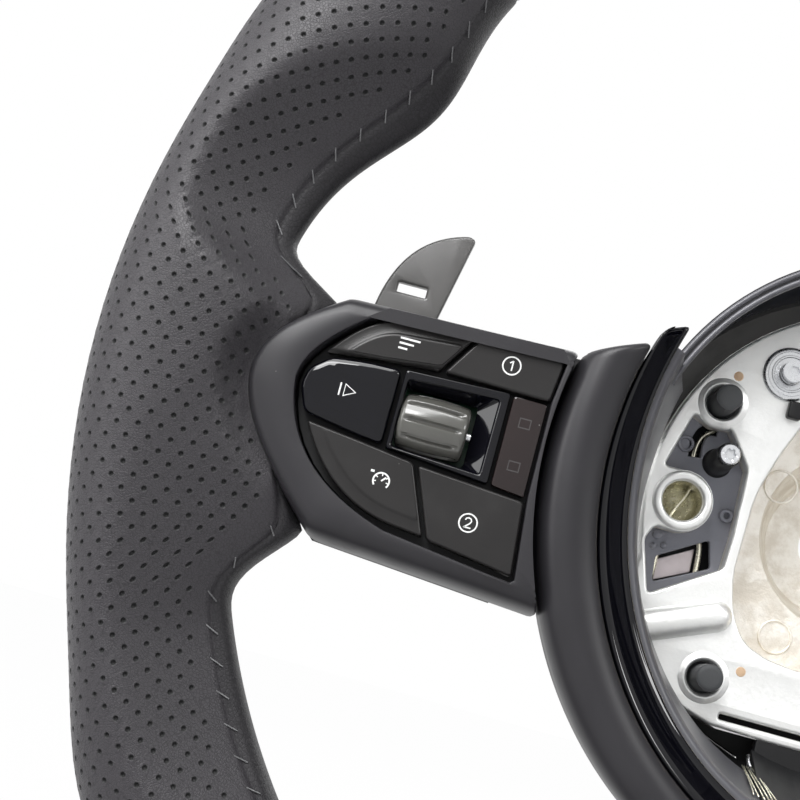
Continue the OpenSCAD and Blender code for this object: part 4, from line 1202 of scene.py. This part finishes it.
barrel = roller_surface()
WELL = np.array([(52.5, -14.35), (68.8, -14.35), (68.8, -0.45), (52.5, -0.45)])
FRAME = np.array([(51.7, 2.8), (74.8, 3.6), (74.8, -16.6), (51.7, -14.6)])
MOUTH = np.array([(52.2, -14.5), (73.2, -15.6), (73.4, 2.2), (52.2, 1.5)])
frame_line = rounded(FRAME, 0.8)
mouth_line = rounded(MOUTH, 1.4)
lines = [frame_line, frame_line, shifted(frame_line, 0.15), shifted(frame_line, 0.35), mouth_line,
         shifted(mouth_line, 0.2), shifted(mouth_line, 0.4), shifted(mouth_line, 0.55), shifted(mouth_line, 0.65),
         rounded(WELL, 1.2), rounded(WELL, 1.2)]
frame_depths = (-7.0, -10.6, -10.92, -11.0, -11.0, -10.94, -10.76, -10.5, -10.2, -7.2, -5.8)
frame_rings = radial_rings(lines, (60.6, -7.4))
surround = loft(stacked(frame_rings, frame_depths))
side_pieces("thumb_roller", barrel, roller_satin, "satin_keys", "roller", rides=True, sharp=50)
side_pieces("roller_surround", surround, gloss_trim, "gloss_trim", "roller_frame", weld=WELD, sharp=30)

ROCKER = rounded(np.array([(75.6, 3.3), (83, 3.2), (83, -17.4), (75.6, -16.6)]), 0.7)
ROCKER_ROLL = ((0.0, -7.6), (0.0, -10.6), (0.12, -10.88), (0.4, -11.0))
plate = joined([solid([at_depth(shifted(ROCKER, inset), y) for inset, y in ROCKER_ROLL]),
                stem(79.4, -7.1, ROCKER_ROLL[0][1], -3.4, 1.75)])
side_pieces("smoked_rocker", plate, smoked_panel, "gloss_trim", "key_rocker", rides=True)
print("roller points", len(barrel[0]))

# %% [markdown]
# ## Printed marks
# The marks are thin raised strokes, as pad printing is. They are generic: plain numbers in rings, bars, a dial and
# a triangle. On the right-hand side they read the right way round, so their strokes are flipped back first.

# %% Printed marks
MARK_THICK = 0.04


def stroke(path, width, closed=False):
    """A flat ribbon along a line, as quads in the plane."""
    p = np.array(path, float)
    if closed:
        way = np.roll(p, -1, axis=0) - np.roll(p, 1, axis=0)
    else:
        way = np.gradient(p, axis=0)
    way /= np.linalg.norm(way, axis=1, keepdims=True)
    side = np.stack([-way[:, 1], way[:, 0]], -1) * width / 2
    return p + side, p - side, closed


def mark_piece(name, strokes, place, front, finish, body, flip, size=1.0):
    """Strokes drawn round a place on a key's face; mirrored twice on the right."""
    sign = -1 if flip else 1
    parts = []
    for one, other, closed in strokes:
        a, b = (np.asarray(q) * size * np.array([sign, 1]) + place for q in (one, other))
        rings = stacked((a, b, b, a), (front, front, front - MARK_THICK, front - MARK_THICK))
        n = len(a)
        verts = np.concatenate(rings)
        faces = []
        for k in range(n if closed else n - 1):
            j = (k + 1) % n
            for r in range(4):
                s = (r + 1) % 4
                faces.append((r * n + k, r * n + j, s * n + j, s * n + k))
        if not closed:
            faces += [(0, n, 2 * n, 3 * n), (n - 1, 4 * n - 1, 3 * n - 1, 2 * n - 1)]
        parts.append((verts, faces))
    return mesh_piece(name, *joined(parts), finish, body=body, slot="satin_keys", flip=flip, sharp=30)


def arc(radius, start, end, n=28):
    angle = np.radians(np.linspace(start, end, n))
    return np.stack([radius * np.cos(angle), radius * np.sin(angle)], -1)


ring_mark = stroke(arc(1.95, 0, 347, 29), 0.32, closed=True)
MARKS = {
    "one": [ring_mark, stroke([(-0.5, 0.55), (0.15, 1.05), (0.16, 1.04)], 0.3),
            stroke([(0.15, 1.1), (0.15, -1.1)], 0.32)],
    "two": [ring_mark, stroke([(-0.72, 0.55), (-0.5, 0.95), (0.0, 1.12), (0.5, 0.9), (0.66, 0.45), (0.4, -0.05),
                               (-0.2, -0.6), (-0.72, -1.02)], 0.3), stroke([(-0.8, -1.0), (0.8, -1.0)], 0.3)],
    "bars": [stroke([(-2.2, z), (2.2 - 1.2 * i, z)], 0.42) for i, z in enumerate((1.1, 0.0, -1.1))],
    "play": [stroke([(-1.0, -1.3), (-1.0, 1.3), (1.5, 0.0)], 0.34, closed=True),
             stroke([(-2.0, -1.4), (-2.0, 1.4)], 0.34)],
    "dial": [stroke(arc(1.75, -40, 220), 0.36), stroke([(0, 0), (0.9, 0.95)], 0.36),
             *(stroke([1.55 * np.array([math.cos(a), math.sin(a)]), 1.1 * np.array([math.cos(a), math.sin(a)])], 0.24)
               for a in np.radians((-10, 35, 90, 145, 190))),
             stroke([(-2.7, 1.7), (-1.9, 1.7)], 0.5)],
}
MARK_PLACES = {
    "one": ("key_upper_inner", (73.4, 9.5), KEY_FRONT),
    "two": ("key_lower_inner", (73.0, -25.7), KEY_FRONT),
    "bars": ("key_upper_outer", (50.9, 8.2), KEY_FRONT),
    "play": ("key_resume", (41.0, -5.0), RESUME_ROLL[-1][1]),
    "dial": ("key_lower_outer", (52.8, -21.9), KEY_FRONT),
}
for mark, (key, place, front) in MARK_PLACES.items():
    for side, flip in SIDES:
        mark_piece(f"mark_{mark}_{side}", MARKS[mark], np.array(place), front, mark_white, f"{key}_{side}", flip)
faint_mark = plastic("faint_mark", (0.05, 0.045, 0.045), 0.3, dust=0.0)
square = stroke([(-1.2, -1.0), (1.2, -1.0), (1.2, 1.0), (-1.2, 1.0)], 0.35, closed=True)
for side, flip in SIDES:
    for number, z in enumerate((-2.0, -11.5)):
        mark_piece(f"panel_sign_{number}_{side}", [square], np.array((79.3, z)), ROCKER_ROLL[-1][1], faint_mark,
                   f"key_rocker_{side}", flip)
print("marks", len(MARKS))

# %% [markdown]
# ## Trim bands and shroud
# Round the airbag recess run a matte band, a gloss band and a grey wall, all swept round ellipses. Each band is one
# section carried round the U, and near its two upper ends the section sinks, so that the ends are rounded.

# %% Trim bands and shroud
BAND_STEPS, WALL_STEPS = 200, 100
END_ROUND, CORNER = 2.2, 3.0
BAND_REAR = 4.0


def on_edge(edge, beta, grow=0.0):
    b = np.radians(beta)
    return np.stack([-(edge[0] + grow) * np.cos(b), edge[2] - (edge[1] + grow) * np.sin(b)], -1)


def band(edge_a, edge_b, top_a, top_b, section):
    """A section of [share across, depth] swept round the U from the left top to the right top."""
    share = 0.5 - 0.5 * np.cos(np.linspace(0, math.pi, BAND_STEPS + 1))
    share = 0.35 * share + 0.65 * np.linspace(0, 1, BAND_STEPS + 1)
    close = np.array([0.0004, 0.0012, 0.0028, 0.005])
    share = np.unique(np.concatenate([share, close, 1 - close]))
    a = on_edge(edge_a, -top_a + (180 + 2 * top_a) * share)
    b = on_edge(edge_b, -top_b + (180 + 2 * top_b) * share)
    length = np.linalg.norm(np.diff((a + b) / 2, axis=0), axis=1)
    walk = np.concatenate([[0], np.cumsum(length)])
    from_end = np.minimum(walk, walk[-1] - walk)
    sunk = END_ROUND - np.sqrt(np.maximum(END_ROUND ** 2 - np.maximum(END_ROUND - from_end, 0) ** 2, 0))
    width = np.linalg.norm(b - a, axis=1)
    drawn = CORNER * (1 - np.sqrt(np.maximum(1 - np.maximum(1 - from_end / CORNER, 0) ** 2, 0))) / width
    rings = []
    for i in range(len(share)):
        ring = []
        for across, depth in section:
            p = a[i] + (b[i] - a[i]) * min(max(across, drawn[i]), 1 - drawn[i])
            ring.append((p[0], min(depth + sunk[i], BAND_REAR), p[1]))
        rings.append(ring)
    return solid(rings)


matte_section = smoothed([(0.012, -2.5), (0.014, -4.6), (0.05, -7.4), (0.13, -9.7), (0.3, -11.7), (0.55, -12.25),
                          (0.8, -11.3), (0.97, -9.6), (0.988, -8.6), (0.988, -6)], 2)
gloss_section = smoothed([(0.004, -5), (0.004, -7.5), (0.06, -8.15), (0.16, -8.0), (0.5, -5.6), (0.82, -3.3),
                          (0.93, -3.0), (0.985, -2.2), (0.99, -0.8), (0.99, 0.5)], 2)
matte = band(MATTE_EDGE, SPLIT_EDGE, 14, 19.0, [(0.012, BAND_REAR), *matte_section, (0.988, BAND_REAR)])
gloss = band(SPLIT_EDGE, GLOSS_EDGE, 21.8, 22.9, [(0.004, BAND_REAR), *gloss_section, (0.99, BAND_REAR)])
mesh_piece("matte_band", *matte, soft_touch, slot="matte_trim", stands_for=("bezel_matte",), sharp=45)
mesh_piece("gloss_band", *gloss, gloss_trim, slot="gloss_trim", stands_for=("bezel_gloss",), sharp=45)

SHROUD_EDGE = (60.1, 72.4, 2.0)
SHROUD_BACK_EDGE = (56.0, 66.0, 2.0)
SHROUD_DEPTHS = (0.8, 1.6, 6, 12, 18, 24, 29, 32.0, 32.7)
SHROUD_THICK, SHROUD_SWELL = 1.4, 0.5


def shroud_wall(beta_from, beta_to):
    """A wall from the gloss band's edge back to a slightly smaller ellipse, with rounded rear lip."""
    rings = []
    for b in np.linspace(beta_from, beta_to, WALL_STEPS + 1):
        near_top = 1.2 * (ramp(18, -8, b) + ramp(162, 188, b))
        front = on_edge(SHROUD_EDGE, b)
        back = on_edge(SHROUD_BACK_EDGE, b) * (1 - near_top / SHROUD_BACK_EDGE[0], 1)
        way = np.array([-math.cos(math.radians(b)), -math.sin(math.radians(b))])
        line = [(on_edge(GLOSS_EDGE, b, -0.6), -0.5), (on_edge(GLOSS_EDGE, b, -1.2), -0.1)]
        for y in SHROUD_DEPTHS:
            share = (y - SHROUD_DEPTHS[0]) / (SHROUD_DEPTHS[-1] - SHROUD_DEPTHS[0])
            line.append((front + (back - front) * share + way * SHROUD_SWELL * math.sin(math.pi * share), y))
        inner = [(p[0], y, p[1]) for p, y in line]
        outer = [(p[0] + way[0] * SHROUD_THICK, min(y, 32.4), p[1] + way[1] * SHROUD_THICK) for p, y in line[::-1]]
        rings.append(inner + outer)
    return solid(rings)


walls = joined([shroud_wall(-18.0, 74.0), shroud_wall(106.0, 198.0)])
mesh_piece("shroud_wall", *walls, shroud_grey, slot="shroud_grey", stands_for=("hub_shroud",), sharp=40)
print("band steps", BAND_STEPS)

# %% [markdown]
# ## Lower spoke cover
# The lower spoke is outside the photograph. It is finished plainly, in the manner of the side covers: the same
# rounded edge, a flat front, and an upper end cut to the matte band's curve.

# %% Lower spoke cover
def lower_line(ends, sides):
    """The rim end of the cover, and its upper edge along the matte band."""
    w = LOWER_HALF - sides
    x = np.linspace(w + 4.4, -w - 4.4, 48)
    top = MATTE_EDGE[2] - (MATTE_EDGE[1] + GAP) * np.sqrt(1 - (x / (MATTE_EDGE[0] + GAP)) ** 2)
    return np.vstack([lower_end(ends, sides, 14), np.stack([x, top], -1)])


lower_rings = stacked([lower_line(ends, sides) for ends, sides, _ in COVER_PROFILE],
                      [y + 0.5 * (y < 0) for _, _, y in COVER_PROFILE], from_rim=False)
mesh_piece("lower_shell", *loft(lower_rings, cap_end=True), matte_trim, slot="matte_trim",
           stands_for=("lower_spoke_cover",), sharp=50)
print("lower spoke rings", len(lower_rings))

# %% [markdown]
# ## Rear cover's front edge and inside
# Above the casting the rear cover closes the recess. Its front edge is a grey double lip with a dark groove, and
# its inside is dark and glossy. Both are turned rings, cut to the arc over the casting.

# %% Rear cover's edge and lining
EDGE_SECTION = smoothed([(62.9, 13.5), (63.15, 11.0), (62.9, 9.7), (62.3, 9.35), (61.75, 9.7), (61.6, 10.5),
                         (61.3, 10.5), (61.1, 9.8), (60.5, 9.5), (59.9, 9.9), (59.75, 11.2), (60.3, 13.5)], 2)


def arc_sweep(section, start):
    """A section of [radius, depth] carried over the top, down to the same angle on both sides."""
    rings = []
    for angle in np.radians(np.linspace(start, 180 - start, 121)):
        rings.append([(r * math.cos(angle), y, r * math.sin(angle)) for r, y in section])
    return solid(rings)


ARC_START, LINING_START = 18.5, 11.0
mesh_piece("cover_lip", *arc_sweep(EDGE_SECTION, ARC_START), shroud_grey, slot="matte_trim", sharp=50)
lining = [(60.9, 13.0), (60.9, 43.0), (61.15, 43.0), (61.15, 13.0)]
mesh_piece("cover_lining", *arc_sweep(lining, LINING_START), navy_gloss, slot="matte_trim")
print("cover arc", ARC_START, "to", 180 - ARC_START)

# %% [markdown]
# ## The casting's face
# A die casting has no sharp edge: its plate is rounded along the outside, round each cut-out and at every hole, and
# raised rings stand round the bores. A filled 2D curve with a bevel gives exactly that from the plate's outlines.

# %% The casting's face
PLATE_Y, PLATE_R = 37.0, 55.0
BEAD_AT, BEAD_R, BEAD_LENGTH = np.array((-31.2, -27.6)), 3.9, 19.5
BEAD_SLOPE = math.radians(22.5)


def curve_plate(loops, front, back, bevel, resolution=3):
    """Points and faces of a flat plate with rounded edges; the first loop is the outside, the others are holes."""
    curve = bpy.data.curves.new("plate_curve", "CURVE")
    curve.dimensions = "2D"
    curve.fill_mode = "BOTH"
    curve.extrude = (back - front) / 2 - bevel
    curve.bevel_depth = bevel
    curve.bevel_resolution = resolution
    curve.offset = -bevel
    for loop in loops:
        spline = curve.splines.new("POLY")
        spline.points.add(len(loop) - 1)
        spline.points.foreach_set("co", np.column_stack([loop, np.zeros(len(loop)), np.ones(len(loop))]).ravel())
        spline.use_cyclic_u = True
    holder = bpy.data.objects.new("plate_holder", curve)
    bpy.context.scene.collection.objects.link(holder)
    depsgraph = bpy.context.evaluated_depsgraph_get()
    mesh = bpy.data.meshes.new_from_object(holder.evaluated_get(depsgraph))
    middle = (front + back) / 2
    verts = [(v.co.x, middle - v.co.z, v.co.y) for v in mesh.vertices]
    faces = [tuple(p.vertices) for p in mesh.polygons]
    bpy.data.objects.remove(holder)
    bpy.data.curves.remove(curve)
    bpy.data.meshes.remove(mesh)
    return verts, faces


CENTRE_HALF = [(-9, -35.2), (-17, -34.4), (-23.6, -32), (-27.6, -25.6), (-29.5, -17), (-29.2, -9), (-28.8, 3),
               (-25.3, 14), (-21, 24), (-13, 31)]
BOSS_HOLE, BOSS_RING_R, PIN_HOLE_R = (-45.5, -2.9), 7.4, 4.9
BUFFERS = ((-41.6, 22.8), (-30.7, -42.4))
DISC = (-27.6, 33.7)


def both_sides(points):
    p = np.array(points, float)
    return np.vstack([p, p[::-1] * (-1, 1)])


def cut_out():
    """The left cut-out, which runs round the pin boss."""
    x, z = BOSS_HOLE
    low, high = z - BOSS_RING_R, z + BOSS_RING_R
    edge = [(-47.5, 18.7), (-43, 16.7), (-38.1, 17), (-32.1, 8.5), (-31.8, -8), (-32.3, -16.3), (-48.3, -26.5),
            (-52, -14), (-50.4, low), (x, low)]
    ring = arc(BOSS_RING_R, -90, 90, 14) + np.array(BOSS_HOLE)
    return rounded(np.vstack([edge, ring[1:-1], [(x, high), (-51.6, high)]]), 1.2, 4)


plate_side = [(-52.6, -22), (-51.6, -28), (-49.8, -34), (-47.2, -39.4), (-44, -44), (-40.4, -48), (-36.4, -49.6),
              (-31.9, -51.3), (-25, -53.2)]
plate_line = smoothed(np.vstack([plate_side, [(-x, z) for x, z in plate_side[::-1]],
                                 arc(PLATE_R - 0.15, -18, 198, 110)]), 1, closed=True)
BOTTOM_SLOT = [(-25, -50.9), (25, -50.9), (25, -49.5), (-25, -49.5)]
well = rounded(both_sides([(x + 0.1, z) for x, z in CENTRE_HALF]), 4, 6)
loops = [turned_left(plate_line), smoothed(well, 1, closed=True), rounded(BOTTOM_SLOT, 0.5, 3)]
for sign in (1, -1):
    flip_x = np.array([sign, 1])
    loops.append(turned_left(cut_out() * flip_x))
    loops.append(circle_points(BOSS_HOLE[0] * sign, BOSS_HOLE[1], PIN_HOLE_R))
    for x, z in BUFFERS:
        loops.append(circle_points(x * sign, z, 4.2))
mesh_piece("casting_face", *curve_plate(loops, PLATE_Y - 0.9, PLATE_Y + 1.0, 0.8), cast_metal, slot="cast_metal",
           sharp=50, weld=WELD)


def lathe(profile, x, z, steps=48):
    """A turned piece on an axis parallel to the column; the profile is [radius, depth]."""
    rings = []
    for angle in 2 * math.pi * np.arange(steps) / steps:
        rings.append([(x + r * math.cos(angle), y, z + r * math.sin(angle)) for r, y in profile])
    return loft(rings, closed=False, wrap=True)


def lathe_group(profile, places, steps=48):
    return joined([lathe(profile, x * sign, z, steps) for x, z in places for sign in (1, -1)])


pin_ring = smoothed([(4.95, 38), (4.95, 35.6), (5.3, 35.0), (6.4, 34.9), (7.1, 35.3), (7.4, 36.4), (7.5, 38)], 2)
socket = smoothed([(3.7, 40.5), (3.9, 37.2), (4.2, 35.8), (4.7, 35.4), (5.3, 35.7), (6.2, 36.1), (6.6, 36.5)], 2)
mesh_piece("pin_rings", *lathe_group(pin_ring, [BOSS_HOLE]), cast_metal, slot="cast_metal", sharp=0)
mesh_piece("buffer_sockets", *lathe_group(socket, BUFFERS), cast_metal, slot="cast_metal", sharp=0)
buffer_head = smoothed([(0.01, 26.75), (2.7, 26.8), (3.1, 27.1), (3.2, 27.9), (3.2, 33), (3.2, 39.4)], 1)
mesh_piece("buffer_heads", *lathe_group(buffer_head, BUFFERS), rubber, slot="buffer_rubber", sharp=0)


def bead_surface(sign):
    """A half-round bead that runs from near the well out to the plate's edge, with a round inner end."""
    way = np.array([-math.cos(BEAD_SLOPE), -math.sin(BEAD_SLOPE)])
    side = np.array([-way[1], way[0]])
    stations = [(-BEAD_R * math.cos(a), math.sin(a)) for a in np.linspace(0.06, math.pi / 2, 9)]
    stations += [(d, 1.0) for d in np.linspace(2, BEAD_LENGTH, 12)]
    rings = []
    for along, size in stations:
        ring = []
        for a in np.linspace(-0.35, math.pi + 0.35, 21):
            p = BEAD_AT + way * along + side * BEAD_R * size * math.cos(a)
            ring.append((p[0] * sign, PLATE_Y - 0.35 - BEAD_R * 0.95 * size * math.sin(a), p[1]))
        rings.append(ring)
    return loft(rings, closed=False)


mesh_piece("beads", *joined([bead_surface(1), bead_surface(-1)]), cast_metal, slot="cast_metal", sharp=0)
paint = plastic("assembly_paint", (0.95, 0.66, 0.42), 0.5, dust=0.1)
dot = [(0.01, PLATE_Y - 0.98), (0.9, PLATE_Y - 0.97), (1.15, PLATE_Y - 0.93), (1.25, PLATE_Y - 0.85)]
dots = joined([lathe(dot, x, z, 24) for x, z in ((-39.5, 30.1), (-22.5, -38.8))])
mesh_piece("paint_dots", *dots, paint, slot="cast_metal", sharp=0)
print("casting loops", len(loops))

# %% [markdown]
# ## Plated discs and screws
# The disc is turned steel with fine rings, held by a star-socket screw. The star is cut as a six-lobed hole.

# %% Discs and screws
DISC_PROFILE = ((2.45, 36.2), (2.5, 34.9), (4.0, 34.85), (4.15, 34.62), (4.5, 34.6), (4.65, 34.85), (5.4, 34.85),
                (5.55, 34.7), (6.1, 34.72), (6.5, 35.0), (6.65, 35.5), (6.65, 37.2), (6.2, 37.6))
SOCKET_STEPS, LOBES = 72, 6
PILLAR, PILLAR_TOP = (-38.7, 9.1), 25.5


def star_screw(x, z, head_r, front, deep):
    """A screw head with a socket of six lobes."""
    angle = 2 * math.pi * np.arange(SOCKET_STEPS) / SOCKET_STEPS
    star = head_r * (0.46 + 0.09 * np.cos(LOBES * angle))
    rings = []
    for radius, y in ((head_r, front + 1.2), (head_r, front + 0.35), (head_r * 0.88, front), (star * 1.12, front),
                      (star, front + 0.12), (star, front + deep), (star * 0.1, front + deep)):
        r = np.broadcast_to(radius, len(angle))
        rings.append(np.stack([x + r * np.cos(angle), np.full(len(angle), y), z + r * np.sin(angle)], -1))
    return loft(rings, cap_end=True)


discs = lathe_group(DISC_PROFILE, [DISC], 72)
mesh_piece("disc_rings", *discs, plated_steel, slot="plated_steel", stands_for=("plated_discs",), sharp=40)
heads = joined([star_screw(sign * x, z, r, front, deep) for sign in (1, -1)
                for x, z, r, front, deep in ((*DISC, 2.7, 32.9, 1.1), (*PILLAR, 2.55, PILLAR_TOP - 1.0, 1.0))])
mesh_piece("star_screws", *heads, plated_steel, slot="plated_steel", sharp=40)
print("disc radius", DISC_PROFILE[-2][0])

# %% [markdown]
# ## Contact plates, springs and cups
# Behind each cut-out lies a slate-coloured plate with a pillar, ring bosses, a curved slot and a window. Two spring
# wires cross behind it, and a cup closes the pin's bore. They are small, yet they fill the bright casting's holes.

# %% Contact plates
CONTACT_FRONT, CONTACT_BACK = 42.7, 44.9
WINDOW = np.array([(-47.8, -16.8), (-36, -9.8), (-34.3, -16.4), (-47.1, -23)])
SLOT_PATH = bend_line((-40.3, 17.0), (-45.6, 17.4), (-44.4, 9.2), 14)


def band_outline(path, width):
    """A closed outline that runs round a path at an even distance."""
    one, other, _ = stroke(path, width)
    return turned_left(np.vstack([one, other[::-1]]))


plate_hull = np.array([(-49.5, 20.7), (-37.3, 19), (-30.2, 9), (-29.9, -8.3), (-30.4, -17.7), (-49.6, -29), (-53, -14),
                       (-53, 5.4)])
loops = [rounded(plate_hull, 1.5), rounded(WINDOW, 0.8), band_outline(SLOT_PATH, 3.0), circle_points(*BOSS_HOLE, 5.6),
         circle_points(*BUFFERS[0], 5.7)]
slate = curve_plate(loops, CONTACT_FRONT, CONTACT_BACK, 0.35, 2)
pillar = [(2.75, PILLAR_TOP), (2.9, PILLAR_TOP + 0.3), (3.0, 36), (3.2, 38.4), (3.2, 41.8), (3.6, 42.6), (3.9, 43.5)]
boss = [(0.7, 43.5), (0.75, 41.5), (0.9, 41.3), (1.5, 41.3), (1.7, 41.6), (1.8, 43.5)]
low_ring = [(1.3, 43.4), (1.35, 42.1), (1.5, 42.0), (1.9, 42.0), (2.05, 42.2), (2.1, 43.4)]
dome = [(0.01, 41.7), (0.45, 41.8), (0.75, 42.1), (0.85, 43.4)]
bosses = joined([lathe(boss, -33.6, -3), lathe(low_ring, -47.2, 11.8), lathe(dome, -48.9, -14.6, 20),
                 lathe(dome, -46.5, -13.9, 20), lathe([(r * 1.5, y) for r, y in dome], -48.6, -11.6, 24)])
blank_line = rounded(plate_hull * 0.985, 1.5)
blank = curve_plate([blank_line], 49.4, 50.2, 0.2, 1)
window_back = curve_plate([rounded(np.array([(-47.5, -17.4), (-38.4, -12.2), (-38.2, -18.2), (-47.1, -22.6)]), 0.4)],
                          46.9, 47.5, 0.15, 2)
cup = [(4.89, 37.2), (4.87, 44.5), (4.5, 46.4), (3.4, 48.0), (1.8, 48.7), (0.01, 48.9)]
LONG_SPRING = ((-40.5, 17.6), (-43.6, 15), (-44.4, 10), (-43.2, 3), (-43.4, 0), (-46.4, -5.5), (-47.3, -12),
               (-47.3, -24))
SHORT_SPRING = ((-43.6, -8), (-38.6, -9.4), (-37.3, -12), (-37, -20))
springs = joined([tube([(x, y, z) for x, z in smoothed(path, 2)], radius, 10)
                  for path, y, radius in ((LONG_SPRING, 45.8, 0.62), (SHORT_SPRING, 45.6, 0.72))])
side_pieces("slate_plate", joined([slate, bosses]), slate_plastic, "contact_plastic", "contact_plate", weld=WELD,
            sharp=40)
side_pieces("screw_pillar", lathe(pillar, *PILLAR), housing_black, "contact_plastic", sharp=40)
side_pieces("contact_blank", blank, housing_black, "contact_plastic", weld=WELD)
side_pieces("window_back", window_back, window_metal, "spring_wire", weld=WELD)
side_pieces("pin_cup", lathe(cup, *BOSS_HOLE), cup_metal, "spring_wire", sharp=0)
side_pieces("round_spring", springs, spring_wire, "spring_wire", "retaining_spring", sharp=0)
print("contact plate loops", len(loops))

# %% [markdown]
# ## Hub centre, clip and wires
# The deep centre keeps the round marks that the mould's ejector pins leave. Below the plate a clip holds a bundle
# of fine strands, which end plainly behind the trim.

# %% Hub centre, clip and wires
STRANDS, STRAND_R = 6, 0.17
mark_ring = [(3.7, 54.2), (3.75, 53.6), (4.0, 53.5), (4.3, 53.6), (4.4, 54.2)]
marks = lathe_group(mark_ring, ((-20.2, 9.3), (-13.1, -27.5)))
mesh_piece("ejector_marks", *marks, rough_cast, slot="cast_metal", sharp=0)


def box_piece(x0, x1, y0, y1, z0, z1, edge=0.4):
    """A block with rounded edges, drawn as a plate in the wheel's plane."""
    return curve_plate([rounded([(x0, z0), (x1, z0), (x1, z1), (x0, z1)], edge * 2, 3)], y0, y1, edge, 2)


clips = joined([box_piece(-26.4, -22.8, 33.4, 36.6, 23.0, 27.2), box_piece(22.8, 26.4, 33.4, 36.6, 23.0, 27.2)])
mesh_piece("disc_clips", *clips, housing_black, slot="contact_plastic", weld=WELD)
tongue = joined([tube([(-15.6, 38.6, -57.4), (-15.6, 35.8, -59.2), (-14.8, 35.2, -60.2)], 0.7, 12),
                 tube([(-15.0, 35.2, -60.2), (-10.4, 35.2, -60.3)], 0.95, 14)])
mesh_piece("clip_tongue", *tongue, plated_steel, slot="plated_steel", stands_for=("lower_clip",), sharp=50)
rng = np.random.default_rng(7)
strands = []
for i in range(STRANDS):
    start = np.array([-18.2 + 0.5 * i, 31.0, -59.8 + rng.uniform(-0.2, 0.2)])
    end = np.array([-18.4 + 1.2 * i, 9.0 + rng.uniform(-1, 1), -65.0 - 0.2 * i])
    sag = (start + end) / 2 + np.array([rng.uniform(-0.6, 0.6), 0, rng.uniform(0.2, 0.8)])
    strands.append(tube(bend_line(start, sag, end, 8), STRAND_R))
mesh_piece("wire_strands", *joined(strands), spring_wire, slot="spring_wire", sharp=0)
blank_line = np.vstack([arc(60.7, -140, -106, 20), [(-15.4, -66), (15.4, -66)], arc(60.7, -74, -40, 20)])
mesh_piece("lower_blank", *curve_plate([turned_left(blank_line)], 47.0, 48.2, 0.3, 2), housing_black,
           slot="housing_plastic", weld=WELD)
mesh_piece("arm_sleeve", *box_piece(-15.2, 15.2, 36.6, 39.4, -64.6, -52.4, 0.5), housing_black,
           slot="housing_plastic", weld=WELD)
print("strands", len(strands))

# %% [markdown]
# ## Shift paddles
# A paddle is a plate with softly rounded edges, a pierced sign, and a barrel for its pin.

# %% Shift paddles
PADDLE_FRONT, PADDLE_BACK = 23.0, 26.0
PADDLE_AXIS = (-82.0, 27.0)
BARREL_STEPS, BARREL_EDGE = 40, 0.4
BLADE = np.vstack([bend_line((-129, 20), (-127, 40), (-111, 43.6), 20),
                   [(-109.4, 43), (-113.5, 22), (-113, 4), (-84, 4), (-84, -14), (-113, -14), (-113, -26),
                    (-128, -26)]])
MINUS = np.array([(-124.6, 26.2), (-117.6, 26.2), (-117.6, 28.6), (-124.6, 28.6)])
PLUS = np.array([(-124.6, 26.2), (-122.3, 26.2), (-122.3, 23.9), (-119.9, 23.9), (-119.9, 26.2), (-117.6, 26.2),
                 (-117.6, 28.6), (-119.9, 28.6), (-119.9, 30.9), (-122.3, 30.9), (-122.3, 28.6), (-124.6, 28.6)])


def barrel_along_z(z0, z1, bore, radius):
    x, y = PADDLE_AXIS
    inner = radius - BARREL_EDGE
    profile = [(bore, z0), (inner, z0), (radius, z0 + BARREL_EDGE), (radius, z1 - BARREL_EDGE), (inner, z1), (bore, z1)]
    rings = []
    for angle in 2 * math.pi * np.arange(BARREL_STEPS) / BARREL_STEPS:
        rings.append([(x + r * math.cos(angle), y + r * math.sin(angle), z) for r, z in profile])
    return loft(rings, wrap=True)


for (side, flip), sign in zip(SIDES, (MINUS, PLUS)):
    blade = curve_plate([rounded(BLADE, 0.8, 4), rounded(sign, 0.25, 3)], PADDLE_FRONT, PADDLE_BACK, 0.7, 4)
    mesh_piece(f"blade_{side}", *joined([blade, barrel_along_z(-14, 4, 1.56, 4.0)]), paddle_grey,
               body=f"paddle_{side}", slot="paddle_finish", stands_for=(f"paddle_{side}",), flip=flip, weld=WELD,
               sharp=50)
print("blade points", len(blade[0]))
